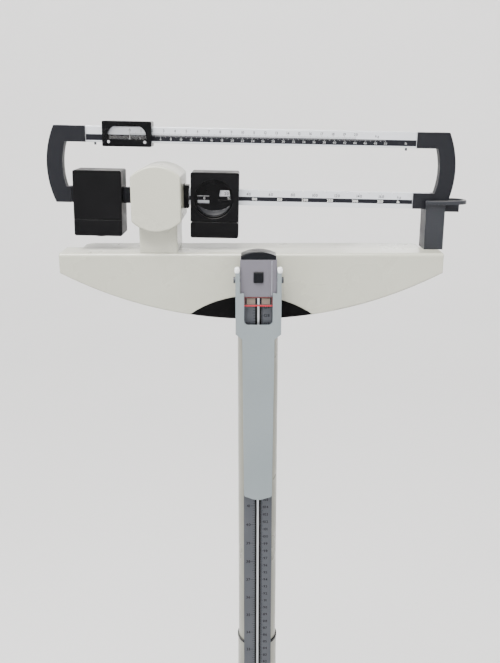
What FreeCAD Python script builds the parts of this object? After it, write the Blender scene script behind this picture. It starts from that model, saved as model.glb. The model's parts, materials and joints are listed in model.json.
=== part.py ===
import FreeCAD, Part
import math
import os
import re

import Sketcher
from FreeCAD import Placement, Rotation, Vector

# A physician beam scale: a low platform on weighing levers, a round column, a head with a
# tilting double beam and two sliding poises, and a height rod with a swinging tongue.
# +Z is up and the origin is on the floor, under the middle of the whole outline.
# +X runs along the beam, and the platform lies on the -Y side of the column.
# Beam parts are drawn level about the fulcrum, and then take the beam's resting tilt.

os.makedirs("parts", exist_ok=True)
doc = FreeCAD.newDocument("physician_beam_scale")

# ---------------------------------------------------------------- driving dimensions (mm)

DIMENSIONS = {
    # where the main axes stand
    "column_y": 180,
    "draft_y": 186,
    "beam_y": 195,
    "head_x": -8,
    "tower_x": -113.8,
    "fulcrum_z": 1472,
    "beam_tilt": 1.1,
    "fit_gap": 0.3,
    "pin_play": 0.05,
    # base
    "base_width": 336,
    "base_front": -248,
    "base_rear": 222,
    "base_bottom": 10,
    "base_top": 58,
    "base_wall": 6,
    "base_floor": 5,
    "base_corner": 24,
    "deck_front": 112,
    "pad_radius": 17,
    "pad_stem": 5,
    "pad_x": 138,
    "pad_front": -216,
    "pad_rear": 190,
    # castors
    "wheel_radius": 16,
    "wheel_width": 14,
    "wheel_x": 118,
    "wheel_y": 243,
    "wheel_z": 21,
    "axle_radius": 4,
    "cheek_thick": 3,
    # platform and rear cover
    "platform_width": 352,
    "platform_front": -260,
    "platform_rear": 98,
    "platform_top": 84,
    "skirt_bottom": 46,
    "sheet_thick": 3,
    "platform_corner": 30,
    "mat_margin": 8,
    "mat_thick": 4,
    "rib_pitch": 9,
    "rib_groove": 4,
    "rib_depth": 1.5,
    "deck_cover_front": 102,
    "deck_cover_rear": 226,
    # weighing levers
    "lever_x": 105,
    "lever_thick": 14,
    "knife_z": 39,
    "long_fulcrum_y": -215,
    "long_load_y": -138,
    "lever_meeting_y": -60,
    "short_load_y": 18,
    "short_fulcrum_y": 95,
    "knife_reach": 14,
    "knife_height": 8,
    "lever_low": 36,
    "lever_deep": 16,
    "cross_low": 23,
    "tail_thick": 13,
    "end_pin_z": 30,
    "strike_top": 38,
    "tip_low": 42,
    # column
    "lower_radius": 25.4,
    "upper_radius": 24.3,
    "tube_wall": 2,
    "joint_z": 890,
    "ring_height": 3,
    "column_top": 1332.7,
    "socket_radius": 31,
    "socket_top": 128,
    "flange_top": 66,
    "flange_half": 58,
    "bolt_x": 44,
    "bolt_y": 24,
    "bolt_radius": 4,
    "bolt_head": 7.5,
    # weighing head casing
    "head_width": 440,
    "head_front": 157,
    "head_split": 198,
    "head_back": 230,
    "head_top": 1410.6,
    "head_end_z": 1387.5,
    "head_low_z": 1333,
    "head_wall": 3,
    "rear_width": 400,
    "recess_half": 73,
    "recess_arc": 126,
    "recess_depth": 1.5,
    # transfer lever in the casing
    "transfer_z": 1378,
    "transfer_fulcrum_x": 102,
    "hook_pin_radius": 2.5,
    "hook_ring": 6.5,
    "hook_wire": 2,
    "draft_radius": 2.6,
    "link_reach": 12,
    # tower that carries the fulcrum
    "neck_width": 43.4,
    "neck_front": 160,
    "neck_back": 226,
    "neck_top": 1452,
    "tower_width": 55.8,
    "tower_front": 145,
    "tower_back": 230,
    "tower_low": 1448,
    "tower_high": 1497.3,
    "tower_arc": 38.9,
    # beam, measured along and above the fulcrum
    "bar_height": 18,
    "bar_thick": 8,
    "bar_spacing": 68.5,
    "yoke_thick": 12,
    "yoke_arc": 105,
    "yoke_width": 18,
    "left_bulge": -129.4,
    "right_bulge": 339.6,
    "left_arm_end": -84.3,
    "right_arm_end": 293.4,
    "notch_pitch": 25.7,
    "notch_first": 63,
    # poises, measured along and above the fulcrum
    "coarse_left": 36.3,
    "poise_width": 55.2,
    "poise_depth": 38,
    "poise_top": 28.8,
    "poise_bottom": -45.6,
    "poise_groove": -26.8,
    "dial_radius": 22.5,
    "dial_u": 62.8,
    "dial_w": -1,
    "balance_left": -97.7,
    "fine_left": -64,
    "fine_width": 55.7,
    "fine_low": 55.3,
    "fine_high": 83.3,
    "fine_depth": 24,
    # beam catch on the casing's right end
    "post_left": 194,
    "post_width": 22,
    "post_front": 183,
    "post_depth": 28,
    "post_top": 1456.1,
    "loop_low": 1462.7,
    "loop_height": 4.6,
    "loop_left": 193,
    "loop_right": 243.5,
    "loop_front": 180.5,
    "loop_depth": 33,
    # height rod
    "rod_width": 34,
    "rod_front": 132,
    "rod_depth": 19,
    "rod_bottom": 560,
    "rod_top": 1406,
    "rod_slot": 7.1,
    "rod_cavity": 14.6,
    "inner_bottom": 600,
    "inner_top": 1408.7,
    "saddle_top_z": 1288,
    "saddle_middle_z": 980,
    "saddle_low_z": 590,
    "saddle_height": 30,
    "slider_width": 41,
    "slider_front": 127.5,
    "slider_low": 1366.6,
    "slider_high": 1408.4,
    "window_low": 1355.5,
    "button_width": 10.5,
    "button_height": 12,
    "button_z": 1388.6,
    # measuring tongue
    "hinge_y": 131,
    "hinge_z": 1385,
    "hinge_pin": 2,
    "fork_width": 51.4,
    "fork_low": 1324,
    "fork_high": 1371,
    "arm_top": 1400,
    "tongue_width": 36.6,
    "tongue_tip": 1120,
    "tongue_front": 123,
    "tongue_thick": 3.6,
}

sheet = doc.addObject("Spreadsheet::Sheet", "Dims")
for row, (word, number) in enumerate(DIMENSIONS.items(), start=1):
    sheet.set(f"A{row}", word)
    sheet.set(f"B{row}", str(number))
    sheet.setAlias(f"B{row}", word)
doc.recompute()

# the four bolts that hold the column's flange on the deck
BOLTS = [(f"{x} * bolt_x", f"column_y + {y} * bolt_y") for x in (-1, 1) for y in (-1, 1)]

# ---------------------------------------------------------------- ways to draw a piece


def formula(text):
    """Point each of the sheet's words at its cell."""
    return re.sub(r"[a-z_]+", lambda found: cell(found.group()), str(text))


def cell(word):
    return f"Dims.{word}" if word in DIMENSIONS else word


def worth(text):
    """The number that a formula comes to."""
    result = sheet.evalExpression(formula(text))
    return float(getattr(result, "Value", result))


def bind(thing, prop, text):
    thing.setExpression(prop, formula(text))


def place(thing, x=0, y=0, z=0):
    for axis, text in zip("xyz", (x, y, z)):
        bind(thing, f"Placement.Base.{axis}", text)
    return thing


def on_beam(thing):
    """Carry a piece drawn about the fulcrum to its place on the resting beam."""
    thing.Placement = Placement(Vector(), Rotation(Vector(0, 1, 0), 1))
    bind(thing, "Placement.Rotation.Angle", "beam_tilt")
    return place(thing, "tower_x", "beam_y", "fulcrum_z")


def box(low, size):
    """A block from its low corner and its size, both as formulas."""
    block = doc.addObject("Part::Box", "Block")
    for prop, text in zip(("Length", "Width", "Height"), size):
        bind(block, prop, text)
    return place(block, *low)


TURNS = {"X": Rotation(Vector(0, 1, 0), 90), "Y": Rotation(Vector(1, 0, 0), -90), "Z": Rotation()}


def cylinder(axis, start, radius, length):
    """A round bar that runs along +axis from the middle of its start face."""
    bar = doc.addObject("Part::Cylinder", "Round")
    bar.Placement = Placement(Vector(), TURNS[axis])
    bind(bar, "Radius", radius)
    bind(bar, "Height", length)
    return place(bar, *start)


def ring(axis, centre, radius, wire):
    hoop = doc.addObject("Part::Torus", "Hoop")
    hoop.Placement = Placement(Vector(), TURNS[axis])
    bind(hoop, "Radius1", radius)
    bind(hoop, "Radius2", wire)
    return place(hoop, *centre)


def join(*pieces):
    whole = doc.addObject("Part::MultiFuse", "Join")
    whole.Shapes = list(pieces)
    return whole


def cut(base, *tools):
    rest = doc.addObject("Part::Cut", "Cut")
    rest.Base = base
    rest.Tool = tools[0] if len(tools) == 1 else join(*tools)
    return rest


def group(*pieces):
    """Separate solids that share one node."""
    several = doc.addObject("Part::Compound", "Group")
    several.Links = list(pieces)
    return several


PLANES = {"X": "YZ_Plane", "Y": "XZ_Plane", "Z": "XY_Plane"}


def circle(across, up, radius):
    return ("circle", across, up, radius)


def rectangle(left, low, right, high):
    return [(left, low), (right, low), (right, high), (left, high)]


def rounded(left, low, right, high, front_radius, rear_radius):
    """A rectangle seen from above with its front pair and its rear pair of corners rounded."""
    front, rear = front_radius, rear_radius
    return [
        (f"{left} + {front}", low),
        (f"{right} - {front}", low, front),
        (right, f"{low} + {front}"),
        (right, f"{high} - {rear}", rear),
        (f"{right} - {rear}", high),
        (f"{left} + {rear}", high, rear),
        (left, f"{high} - {rear}"),
        (left, f"{low} + {front}", front),
    ]


def draw_outline(sketch, corners):
    """A closed outline. A corner with a radius starts an arc: plus turns left, minus turns right."""
    first = sketch.GeometryCount
    count = len(corners)
    points = [Vector(worth(corner[0]), worth(corner[1]), 0) for corner in corners]
    ends = []
    for index, corner in enumerate(corners):
        start, stop = points[index], points[(index + 1) % count]
        if len(corner) == 2:
            sketch.addGeometry(Part.LineSegment(start, stop), False)
            ends.append((1, 2))
            continue
        radius = worth(corner[2])
        chord = stop - start
        rise = math.sqrt(radius**2 - chord.Length**2 / 4) * math.copysign(1, radius)
        left = Vector(-chord.y, chord.x, 0) / chord.Length
        middle = (start + stop) * 0.5 + left * rise
        turned = (start, stop) if radius > 0 else (stop, start)
        angles = [math.atan2(point.y - middle.y, point.x - middle.x) for point in turned]
        round_edge = Part.Circle(middle, Vector(0, 0, 1), abs(radius))
        sketch.addGeometry(Part.ArcOfCircle(round_edge, *angles), False)
        ends.append((1, 2) if radius > 0 else (2, 1))
    for index, corner in enumerate(corners):
        edge = first + index
        following = first + (index + 1) % count
        sketch.addConstraint(
            Sketcher.Constraint("Coincident", edge, ends[index][1], following, ends[(index + 1) % count][0])
        )
        dimension(sketch, "DistanceX", edge, ends[index][0], corner[0])
        dimension(sketch, "DistanceY", edge, ends[index][0], corner[1])
        if len(corner) == 3:
            dimension(sketch, "Radius", edge, None, f"abs({corner[2]})")


def draw_circle(sketch, across, up, radius):
    edge = sketch.GeometryCount
    middle = Vector(worth(across), worth(up), 0)
    sketch.addGeometry(Part.Circle(middle, Vector(0, 0, 1), worth(radius)), False)
    dimension(sketch, "DistanceX", edge, 3, across)
    dimension(sketch, "DistanceY", edge, 3, up)
    dimension(sketch, "Radius", edge, None, radius)


def dimension(sketch, kind, edge, end, text):
    """A sketch dimension that follows the sheet."""
    value = worth(text)
    rule = (
        Sketcher.Constraint(kind, edge, value)
        if end is None
        else Sketcher.Constraint(kind, -1, 1, edge, end, value)
    )
    number = sketch.addConstraint(rule)
    sketch.setExpression(f"Constraints[{number}]", formula(text))


def sketch_on(body, axis, at, outlines):
    """A sketch across the named axis; X sees (y, z), Y sees (x, z) and Z sees (x, y)."""
    sketch = body.newObject("Sketcher::SketchObject", "Sketch")
    planes = body.Origin.OriginFeatures
    plane = next(item for item in planes if item.Role == PLANES[axis])
    sketch.AttachmentSupport = [(plane, "")]
    sketch.MapMode = "FlatFace"
    # the XZ plane faces -Y, so its offset counts backwards
    bind(sketch, "AttachmentOffset.Base.z", f"-1 * ({at})" if axis == "Y" else at)
    for outline in outlines:
        if outline[0] == "circle":
            draw_circle(sketch, *outline[1:])
        else:
            draw_outline(sketch, outline)
    return sketch


def pad(body, axis, start, length, *outlines):
    """Grow outlines from start along +axis."""
    feature = body.newObject("PartDesign::Pad", "Pad")
    feature.Profile = sketch_on(body, axis, start, outlines)
    feature.Reversed = axis == "Y"
    bind(feature, "Length", length)
    body.Tip = feature
    return feature


def pocket(body, axis, start, length, *outlines):
    """Cut outlines from start along +axis."""
    feature = body.newObject("PartDesign::Pocket", "Pocket")
    feature.Profile = sketch_on(body, axis, start, outlines)
    feature.Reversed = axis != "Y"
    bind(feature, "Length", length)
    body.Tip = feature
    return feature


def revolve(body, *outlines):
    """Turn outlines drawn as (radius, z) about the body's own Z axis."""
    feature = body.newObject("PartDesign::Revolution", "Revolution")
    sketch = sketch_on(body, "Y", "0", outlines)
    feature.Profile = sketch
    feature.ReferenceAxis = (sketch, ["V_Axis"])
    feature.Angle = 360
    body.Tip = feature
    return feature


def repeat(body, feature, plane_axis, pitch, count):
    """Repeat a feature along an origin axis."""
    pattern = body.newObject("PartDesign::LinearPattern", "Row")
    pattern.Originals = [feature]
    line = next(item for item in body.Origin.OriginFeatures if item.Role == plane_axis)
    pattern.Direction = (line, [""])
    pattern.Occurrences = count
    bind(pattern, "Length", f"({pitch}) * {count - 1}")
    body.Tip = pattern
    return pattern


def soften(body, radius, wanted, kind="Fillet"):
    """Round or bevel the edges whose ends and middle pass the test."""
    doc.recompute()
    base = body.Tip
    names = [
        f"Edge{number}"
        for number, edge in enumerate(base.Shape.Edges, start=1)
        if wanted(edge)
    ]
    feature = body.newObject(f"PartDesign::{kind}", kind)
    feature.Base = (base, names)
    bind(feature, "Radius" if kind == "Fillet" else "Size", radius)
    body.Tip = feature
    return feature


def new_body():
    return doc.addObject("PartDesign::Body", "Body")


def middle_of(edge):
    return edge.valueAt((edge.FirstParameter + edge.LastParameter) / 2)


def runs_along(edge, axis):
    """Is this a straight edge along X, Y or Z?"""
    if not isinstance(edge.Curve, Part.Line):
        return False
    return abs(abs(getattr(edge.Curve.Direction, axis.lower())) - 1) < 1e-6


nodes = {}


def node(name, piece):
    """Name a finished sub-part; its label is its file's name."""
    piece.Label = name
    nodes[name] = piece
    return piece


# ---------------------------------------------------------------- base


def base_frame():
    """Cast tray with an open top, a rear deck for the column and bosses under its corners."""
    body = new_body()
    half = "base_width / 2"
    outer = rounded(f"-{half}", "base_front", half, "base_rear", "base_corner", "base_corner")
    pad(body, "Z", "base_bottom", "base_top - base_bottom", outer)
    inside = "(base_corner - base_wall)"
    wall_left, wall_right = f"-{half} + base_wall", f"{half} - base_wall"
    inner = rounded(wall_left, "base_front + base_wall", wall_right, "deck_front", inside, "2")
    pocket(body, "Z", "base_bottom + base_floor", "base_top", inner)
    under_deck = rounded(wall_left, "deck_front - 3", wall_right, "base_rear - base_wall", "1", inside)
    pocket(body, "Z", "base_bottom + base_floor", "base_top - base_bottom - 11", under_deck)
    # the draft rod's loop passes the deck, and four bolts hold the column's flange
    pocket(body, "Z", "base_top - 8", "10", circle(0, "draft_y", 13))
    pocket(body, "Z", "base_top - 8", "10", *[circle(x, y, "bolt_radius") for x, y in BOLTS])
    stems = [
        circle(f"{side} * pad_x", along, "pad_stem")
        for side in (-1, 1)
        for along in ("pad_front", "pad_rear")
    ]
    pocket(body, "Z", "base_bottom - 1", "base_floor + 2", *stems)
    return node("base_frame", body)


def rubber_pads():
    """Four rubber feet, each with a stem pushed into the tray's floor."""
    feet = []
    for side in (-1, 1):
        for along in ("pad_front", "pad_rear"):
            foot = new_body()
            profile = [
                ("0", "0"),
                ("pad_radius - 2", "0"),
                ("pad_radius", "2"),
                ("pad_radius - 3", "base_bottom"),
                ("pad_stem", "base_bottom"),
                ("pad_stem", "base_bottom + base_floor"),
                ("0", "base_bottom + base_floor"),
            ]
            revolve(foot, profile)
            feet.append(place(foot, f"{side} * pad_x", along, 0))
    return node("rubber_pads", group(*feet))


def lever_stands():
    """Four posts on the tray's floor that carry the levers' fulcrum knives in V seats."""
    stands = []
    for along in ("long_fulcrum_y", "short_fulcrum_y"):
        for side in (-1, 1):
            stand = new_body()
            floor = "base_bottom + base_floor"
            seat = "knife_z - fit_gap"
            outline = [
                (f"{along} - 9", floor),
                (f"{along} + 9", floor),
                (f"{along} + 7", f"{seat} + 4"),
                (f"{along} + 4", f"{seat} + 4"),
                (along, seat),
                (f"{along} - 4", f"{seat} + 4"),
                (f"{along} - 7", f"{seat} + 4"),
            ]
            edge = "lever_x + lever_thick / 2 + 1"
            start = edge if side == 1 else f"-1 * ({edge}) - knife_reach + 2"
            pad(stand, "X", start, "knife_reach - 2", outline)
            stands.append(stand)
    return node("lever_stands", group(*stands))


def rear_deck_cover():
    """Sheet cover behind the platform, with a hole for the column's socket."""
    body = new_body()
    half = "platform_width / 2"
    round_rear = "(platform_corner / 2)"
    outline = rounded(f"-{half}", "deck_cover_front", half, "deck_cover_rear", "4", round_rear)
    pad(body, "Z", "skirt_bottom", "platform_top - skirt_bottom", outline)
    soften(
        body,
        "2",
        lambda edge: abs(middle_of(edge).z - worth("platform_top")) < 0.01
        and middle_of(edge).y > worth("deck_cover_front") + 1,
    )
    inner = rounded(
        f"-{half} + sheet_thick",
        "deck_cover_front + sheet_thick",
        f"{half} - sheet_thick",
        "deck_cover_rear - sheet_thick",
        "1",
        "(platform_corner / 2 - sheet_thick)",
    )
    pocket(body, "Z", "skirt_bottom - 1", "platform_top - skirt_bottom - sheet_thick + 1", inner)
    notch = rectangle(
        f"-{half} + sheet_thick", "deck_cover_front - 1", f"{half} - sheet_thick", "deck_cover_front + 5"
    )
    pocket(body, "Z", "skirt_bottom - 1", "base_top - skirt_bottom + 2", notch)
    pocket(body, "Z", "platform_top - 5", "8", circle(0, "column_y", "socket_radius + 0.5"))
    return node("rear_deck_cover", body)


def castors():
    """Two transport wheels behind the base, clear of the floor until the scale is tipped."""
    brackets, axles = [], []
    for side, name in ((-1, "left"), (1, "right")):
        middle = f"{side} * wheel_x"
        reach = "(wheel_width / 2 + 0.5 + cheek_thick)"
        left, right = f"{middle} - {reach}", f"{middle} + {reach}"
        plate = box((left, "base_rear", "wheel_z - 9"), (f"2 * {reach}", "cheek_thick", "22"))
        cheeks = []
        for edge in (left, f"{right} - cheek_thick"):
            cheek_size = ("cheek_thick", "wheel_y + 8 - base_rear", "18")
            cheeks.append(box((edge, "base_rear", "wheel_z - 9"), cheek_size))
        bore_start = (f"{left} - 1", "wheel_y", "wheel_z")
        bore = cylinder("X", bore_start, "axle_radius", f"2 * {reach} + 2")
        brackets.append(cut(join(plate, *cheeks), bore))
        shank_start = (f"{left} - 1.5", "wheel_y", "wheel_z")
        shank = cylinder("X", shank_start, "axle_radius", f"2 * {reach} + 3")
        heads = [
            cylinder("X", (f"{left} - 3.5", "wheel_y", "wheel_z"), "axle_radius + 2", "3"),
            cylinder("X", (f"{right} + 0.5", "wheel_y", "wheel_z"), "axle_radius + 2", "3"),
        ]
        axles.append(join(shank, *heads))
        wheel = new_body()
        profile = [
            ("axle_radius + pin_play", "-wheel_width / 2"),
            ("8", "-wheel_width / 2"),
            ("9", "-wheel_width / 2 + 2"),
            ("wheel_radius - 5", "-wheel_width / 2 + 2"),
            ("wheel_radius - 4", "-wheel_width / 2"),
            ("wheel_radius - 2", "-wheel_width / 2", "13.25"),
            ("wheel_radius - 2", "wheel_width / 2"),
            ("wheel_radius - 4", "wheel_width / 2"),
            ("wheel_radius - 5", "wheel_width / 2 - 2"),
            ("9", "wheel_width / 2 - 2"),
            ("8", "wheel_width / 2"),
            ("axle_radius + pin_play", "wheel_width / 2"),
        ]
        revolve(wheel, profile)
        wheel.Placement = Placement(Vector(), TURNS["X"])
        node(f"castor_wheel_{name}", place(wheel, middle, "wheel_y", "wheel_z"))
    node("castor_brackets", group(*brackets))
    node("castor_axles", group(*axles))


# ---------------------------------------------------------------- platform


def platform():
    """Inverted sheet tray that people stand on, a ribbed mat and four posts onto the knives."""
    body = new_body()
    half = "platform_width / 2"
    outline = rounded(f"-{half}", "platform_front", half, "platform_rear", "platform_corner", "4")
    pad(body, "Z", "skirt_bottom", "platform_top - skirt_bottom", outline)
    soften(
        body,
        "2",
        lambda edge: abs(middle_of(edge).z - worth("platform_top")) < 0.01
        and middle_of(edge).y < worth("platform_rear") - 1,
    )
    inner = rounded(
        f"-{half} + sheet_thick",
        "platform_front + sheet_thick",
        f"{half} - sheet_thick",
        "platform_rear - sheet_thick",
        "(platform_corner - sheet_thick)",
        "1",
    )
    pocket(body, "Z", "skirt_bottom - 1", "platform_top - skirt_bottom - sheet_thick + 1", inner)
    notch = rectangle(
        f"-{half} + sheet_thick", "platform_rear - 5", f"{half} - sheet_thick", "platform_rear + 1"
    )
    pocket(body, "Z", "skirt_bottom - 1", "base_top - skirt_bottom + 2", notch)
    node("platform_plate", body)

    mat = new_body()
    outline = rectangle(
        f"-{half} + mat_margin",
        "platform_front + mat_margin",
        f"{half} - mat_margin",
        "platform_rear - mat_margin",
    )
    pad(mat, "Z", "platform_top", "mat_thick", outline)
    front_corner = lambda edge: runs_along(edge, "Z") and middle_of(edge).y < 0
    soften(mat, "platform_corner - mat_margin", front_corner)
    first = "platform_front + mat_margin + 14"
    rib_half = f"({half} - mat_margin - 14)"
    rib = rectangle(f"-1 * {rib_half}", first, rib_half, f"{first} + rib_groove")
    groove = pocket(mat, "Z", "platform_top + mat_thick - rib_depth", "rib_depth + 1", rib)
    repeat(mat, groove, "Y_Axis", "rib_pitch", 36)
    node("platform_mat", mat)

    posts = []
    for along in ("long_load_y", "short_load_y"):
        for side in (-1, 1):
            post = new_body()
            seat = "knife_z + knife_height + fit_gap"
            outline = [
                (f"{along} - 7", f"{seat} - 4"),
                (f"{along} - 4", f"{seat} - 4"),
                (along, seat),
                (f"{along} + 4", f"{seat} - 4"),
                (f"{along} + 7", f"{seat} - 4"),
                (f"{along} + 11", "platform_top - sheet_thick"),
                (f"{along} - 11", "platform_top - sheet_thick"),
            ]
            edge = "lever_x + lever_thick / 2 + 1"
            start = edge if side == 1 else f"-1 * ({edge}) - knife_reach + 2"
            pad(post, "X", start, "knife_reach - 2", outline)
            posts.append(post)
    node("platform_posts", group(*posts))


# ---------------------------------------------------------------- weighing levers


def knife(along, pointing):
    """A prism across the base with its edge up or down, drawn on both sides of a lever."""
    top = "knife_z + knife_height"
    tips = {
        "down": [(along, "knife_z"), (f"{along} + 4", top), (f"{along} - 4", top)],
        "up": [(along, top), (f"{along} - 4", "knife_z"), (f"{along} + 4", "knife_z")],
    }
    prisms = []
    for side in (-1, 1):
        edge = "lever_x + lever_thick / 2"
        prism = new_body()
        start = edge if side == 1 else f"-1 * ({edge}) - knife_reach"
        pad(prism, "X", start, "knife_reach", tips[pointing])
        prisms.append(prism)
    return prisms


def long_lever():
    """Two arms under the platform's front, a cross beam, and a tail that reaches the draft rod."""
    arm_size = ("lever_thick", "long_load_y + 20 - long_fulcrum_y", "lever_deep")
    arms = [
        box((f"{side} * lever_x - lever_thick / 2", "long_fulcrum_y - 10", "lever_low"), arm_size)
        for side in (-1, 1)
    ]
    cross_start = "long_load_y - 6"
    cross = box(("-lever_x", cross_start, "cross_low"), ("2 * lever_x", "lever_deep", "29"))
    tail = box(("-10", cross_start, "cross_low"), ("20", f"draft_y - 16 - ({cross_start})", "tail_thick"))
    end_pin = cylinder("Y", ("0", "draft_y - 18", "end_pin_z"), "hook_pin_radius", "26")
    strike = box(("-9", "lever_meeting_y - 8", "strike_top - 2"), ("18", "16", "2"))
    node("long_lever", join(*arms, cross, tail, end_pin, strike))
    node("long_lever_knives", group(*knife("long_fulcrum_y", "down"), *knife("long_load_y", "up")))


def short_lever():
    """Two arms under the platform's rear, a cross beam, and a tip that bears on the long lever."""
    arm_size = ("lever_thick", "short_fulcrum_y + 50 - short_load_y", "lever_deep")
    cross_start = "short_load_y - 40"
    arms = [
        box((f"{side} * lever_x - lever_thick / 2", cross_start, "lever_low"), arm_size)
        for side in (-1, 1)
    ]
    cross = box(("-lever_x", cross_start, "tip_low - 1"), ("2 * lever_x", "14", "13"))
    tip_size = ("16", "short_load_y - 28 - lever_meeting_y", "12")
    tip = box(("-8", "lever_meeting_y - 8", "tip_low"), tip_size)
    tooth = new_body()
    outline = [
        ("lever_meeting_y", "strike_top + fit_gap"),
        ("lever_meeting_y + 4", "tip_low"),
        ("lever_meeting_y - 4", "tip_low"),
    ]
    pad(tooth, "X", "-7", "14", outline)
    node("short_lever", join(*arms, cross, tip))
    knives = [*knife("short_fulcrum_y", "down"), *knife("short_load_y", "up")]
    node("short_lever_knives", group(tooth, *knives))


def draft_rod():
    """Thin rod up the column, with a loop at each end that holds a lever's pin."""
    top = "transfer_z + hook_pin_radius - hook_ring + hook_wire + fit_gap"
    bottom = "end_pin_z - hook_pin_radius + hook_ring - hook_wire - fit_gap"
    loops = [ring("Y", ("0", "draft_y", height), "hook_ring", "hook_wire") for height in (top, bottom)]
    shank_start = ("0", "draft_y", f"{bottom} + hook_ring")
    shank = cylinder("Z", shank_start, "draft_radius", f"({top}) - ({bottom}) - 2 * hook_ring")
    node("draft_rod", join(shank, *loops))


# ---------------------------------------------------------------- column


def column():
    """Socket on the deck, a lower tube, and an upper tube whose spigot stands in it."""
    body = new_body()
    flange = rectangle("-flange_half", "column_y - 36", "flange_half", "column_y + 36")
    pad(body, "Z", "base_top", "flange_top - base_top", flange)
    soften(body, "10", lambda edge: runs_along(edge, "Z"))
    pad(body, "Z", "flange_top", "socket_top - flange_top", circle(0, "column_y", "socket_radius"))
    pocket(body, "Z", "flange_top", "socket_top", circle(0, "column_y", "lower_radius"))
    pocket(body, "Z", "base_top - 1", "20", circle(0, "column_y", "20"))
    pocket(body, "Z", "base_top - 1", "20", *[circle(x, y, "bolt_radius") for x, y in BOLTS])
    soften(
        body,
        "2",
        lambda edge: abs(middle_of(edge).z - worth("socket_top")) < 0.01 and edge.Length > 180,
    )
    node("column_socket", body)

    fasteners = []
    for x, y in BOLTS:
        bolt = new_body()
        corners = [
            (f"bolt_head * cos({60 * step})", f"bolt_head * sin({60 * step})") for step in range(6)
        ]
        pad(bolt, "Z", "flange_top", "5", corners)
        pad(bolt, "Z", "base_top - 6", "flange_top - base_top + 6", circle(0, 0, "bolt_radius"))
        fasteners.append(place(bolt, x, y, 0))
    node("socket_bolts", group(*fasteners))

    lower = new_body()
    profile = rectangle("lower_radius - tube_wall", "flange_top", "lower_radius", "joint_z")
    revolve(lower, profile)
    node("lower_column", place(lower, 0, "column_y", 0))

    upper = new_body()
    profile = [
        ("upper_radius - tube_wall", "joint_z - 60"),
        ("lower_radius - tube_wall", "joint_z - 60"),
        ("lower_radius - tube_wall", "joint_z + ring_height"),
        ("upper_radius", "joint_z + ring_height"),
        ("upper_radius", "column_top"),
        ("upper_radius - tube_wall", "column_top"),
    ]
    revolve(upper, profile)
    node("upper_column", place(upper, 0, "column_y", 0))

    collar = new_body()
    revolve(
        collar,
        rectangle("lower_radius - tube_wall", "joint_z", "lower_radius + 0.4", "joint_z + ring_height"),
    )
    node("column_ring", place(collar, 0, "column_y", 0))


# ---------------------------------------------------------------- weighing head


def curve_radius():
    """Radius of the casing's lower curve, from its width and its sag."""
    sag = "(head_end_z - head_low_z)"
    return f"((head_width / 2)^2 + {sag}^2) / (2 * {sag})"


def curve_height(across, inset="0"):
    """Height of the casing's lower curve, at a distance from its middle."""
    arc = curve_radius()
    return f"head_low_z + {arc} - sqrt(({arc} - {inset})^2 - ({across})^2)"


def casing_outline(half, inset, top):
    """The casing's front view about its own middle: flat top, short ends, bowed bottom."""
    end = curve_height(half, inset)
    return [
        (f"-({half})", end, f"{curve_radius()} - {inset}"),
        (half, end),
        (half, top),
        (f"-({half})", top),
    ]


SCREWS = [(-168, 1398), (168, 1398), (-138, 1378), (138, 1378)]


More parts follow.
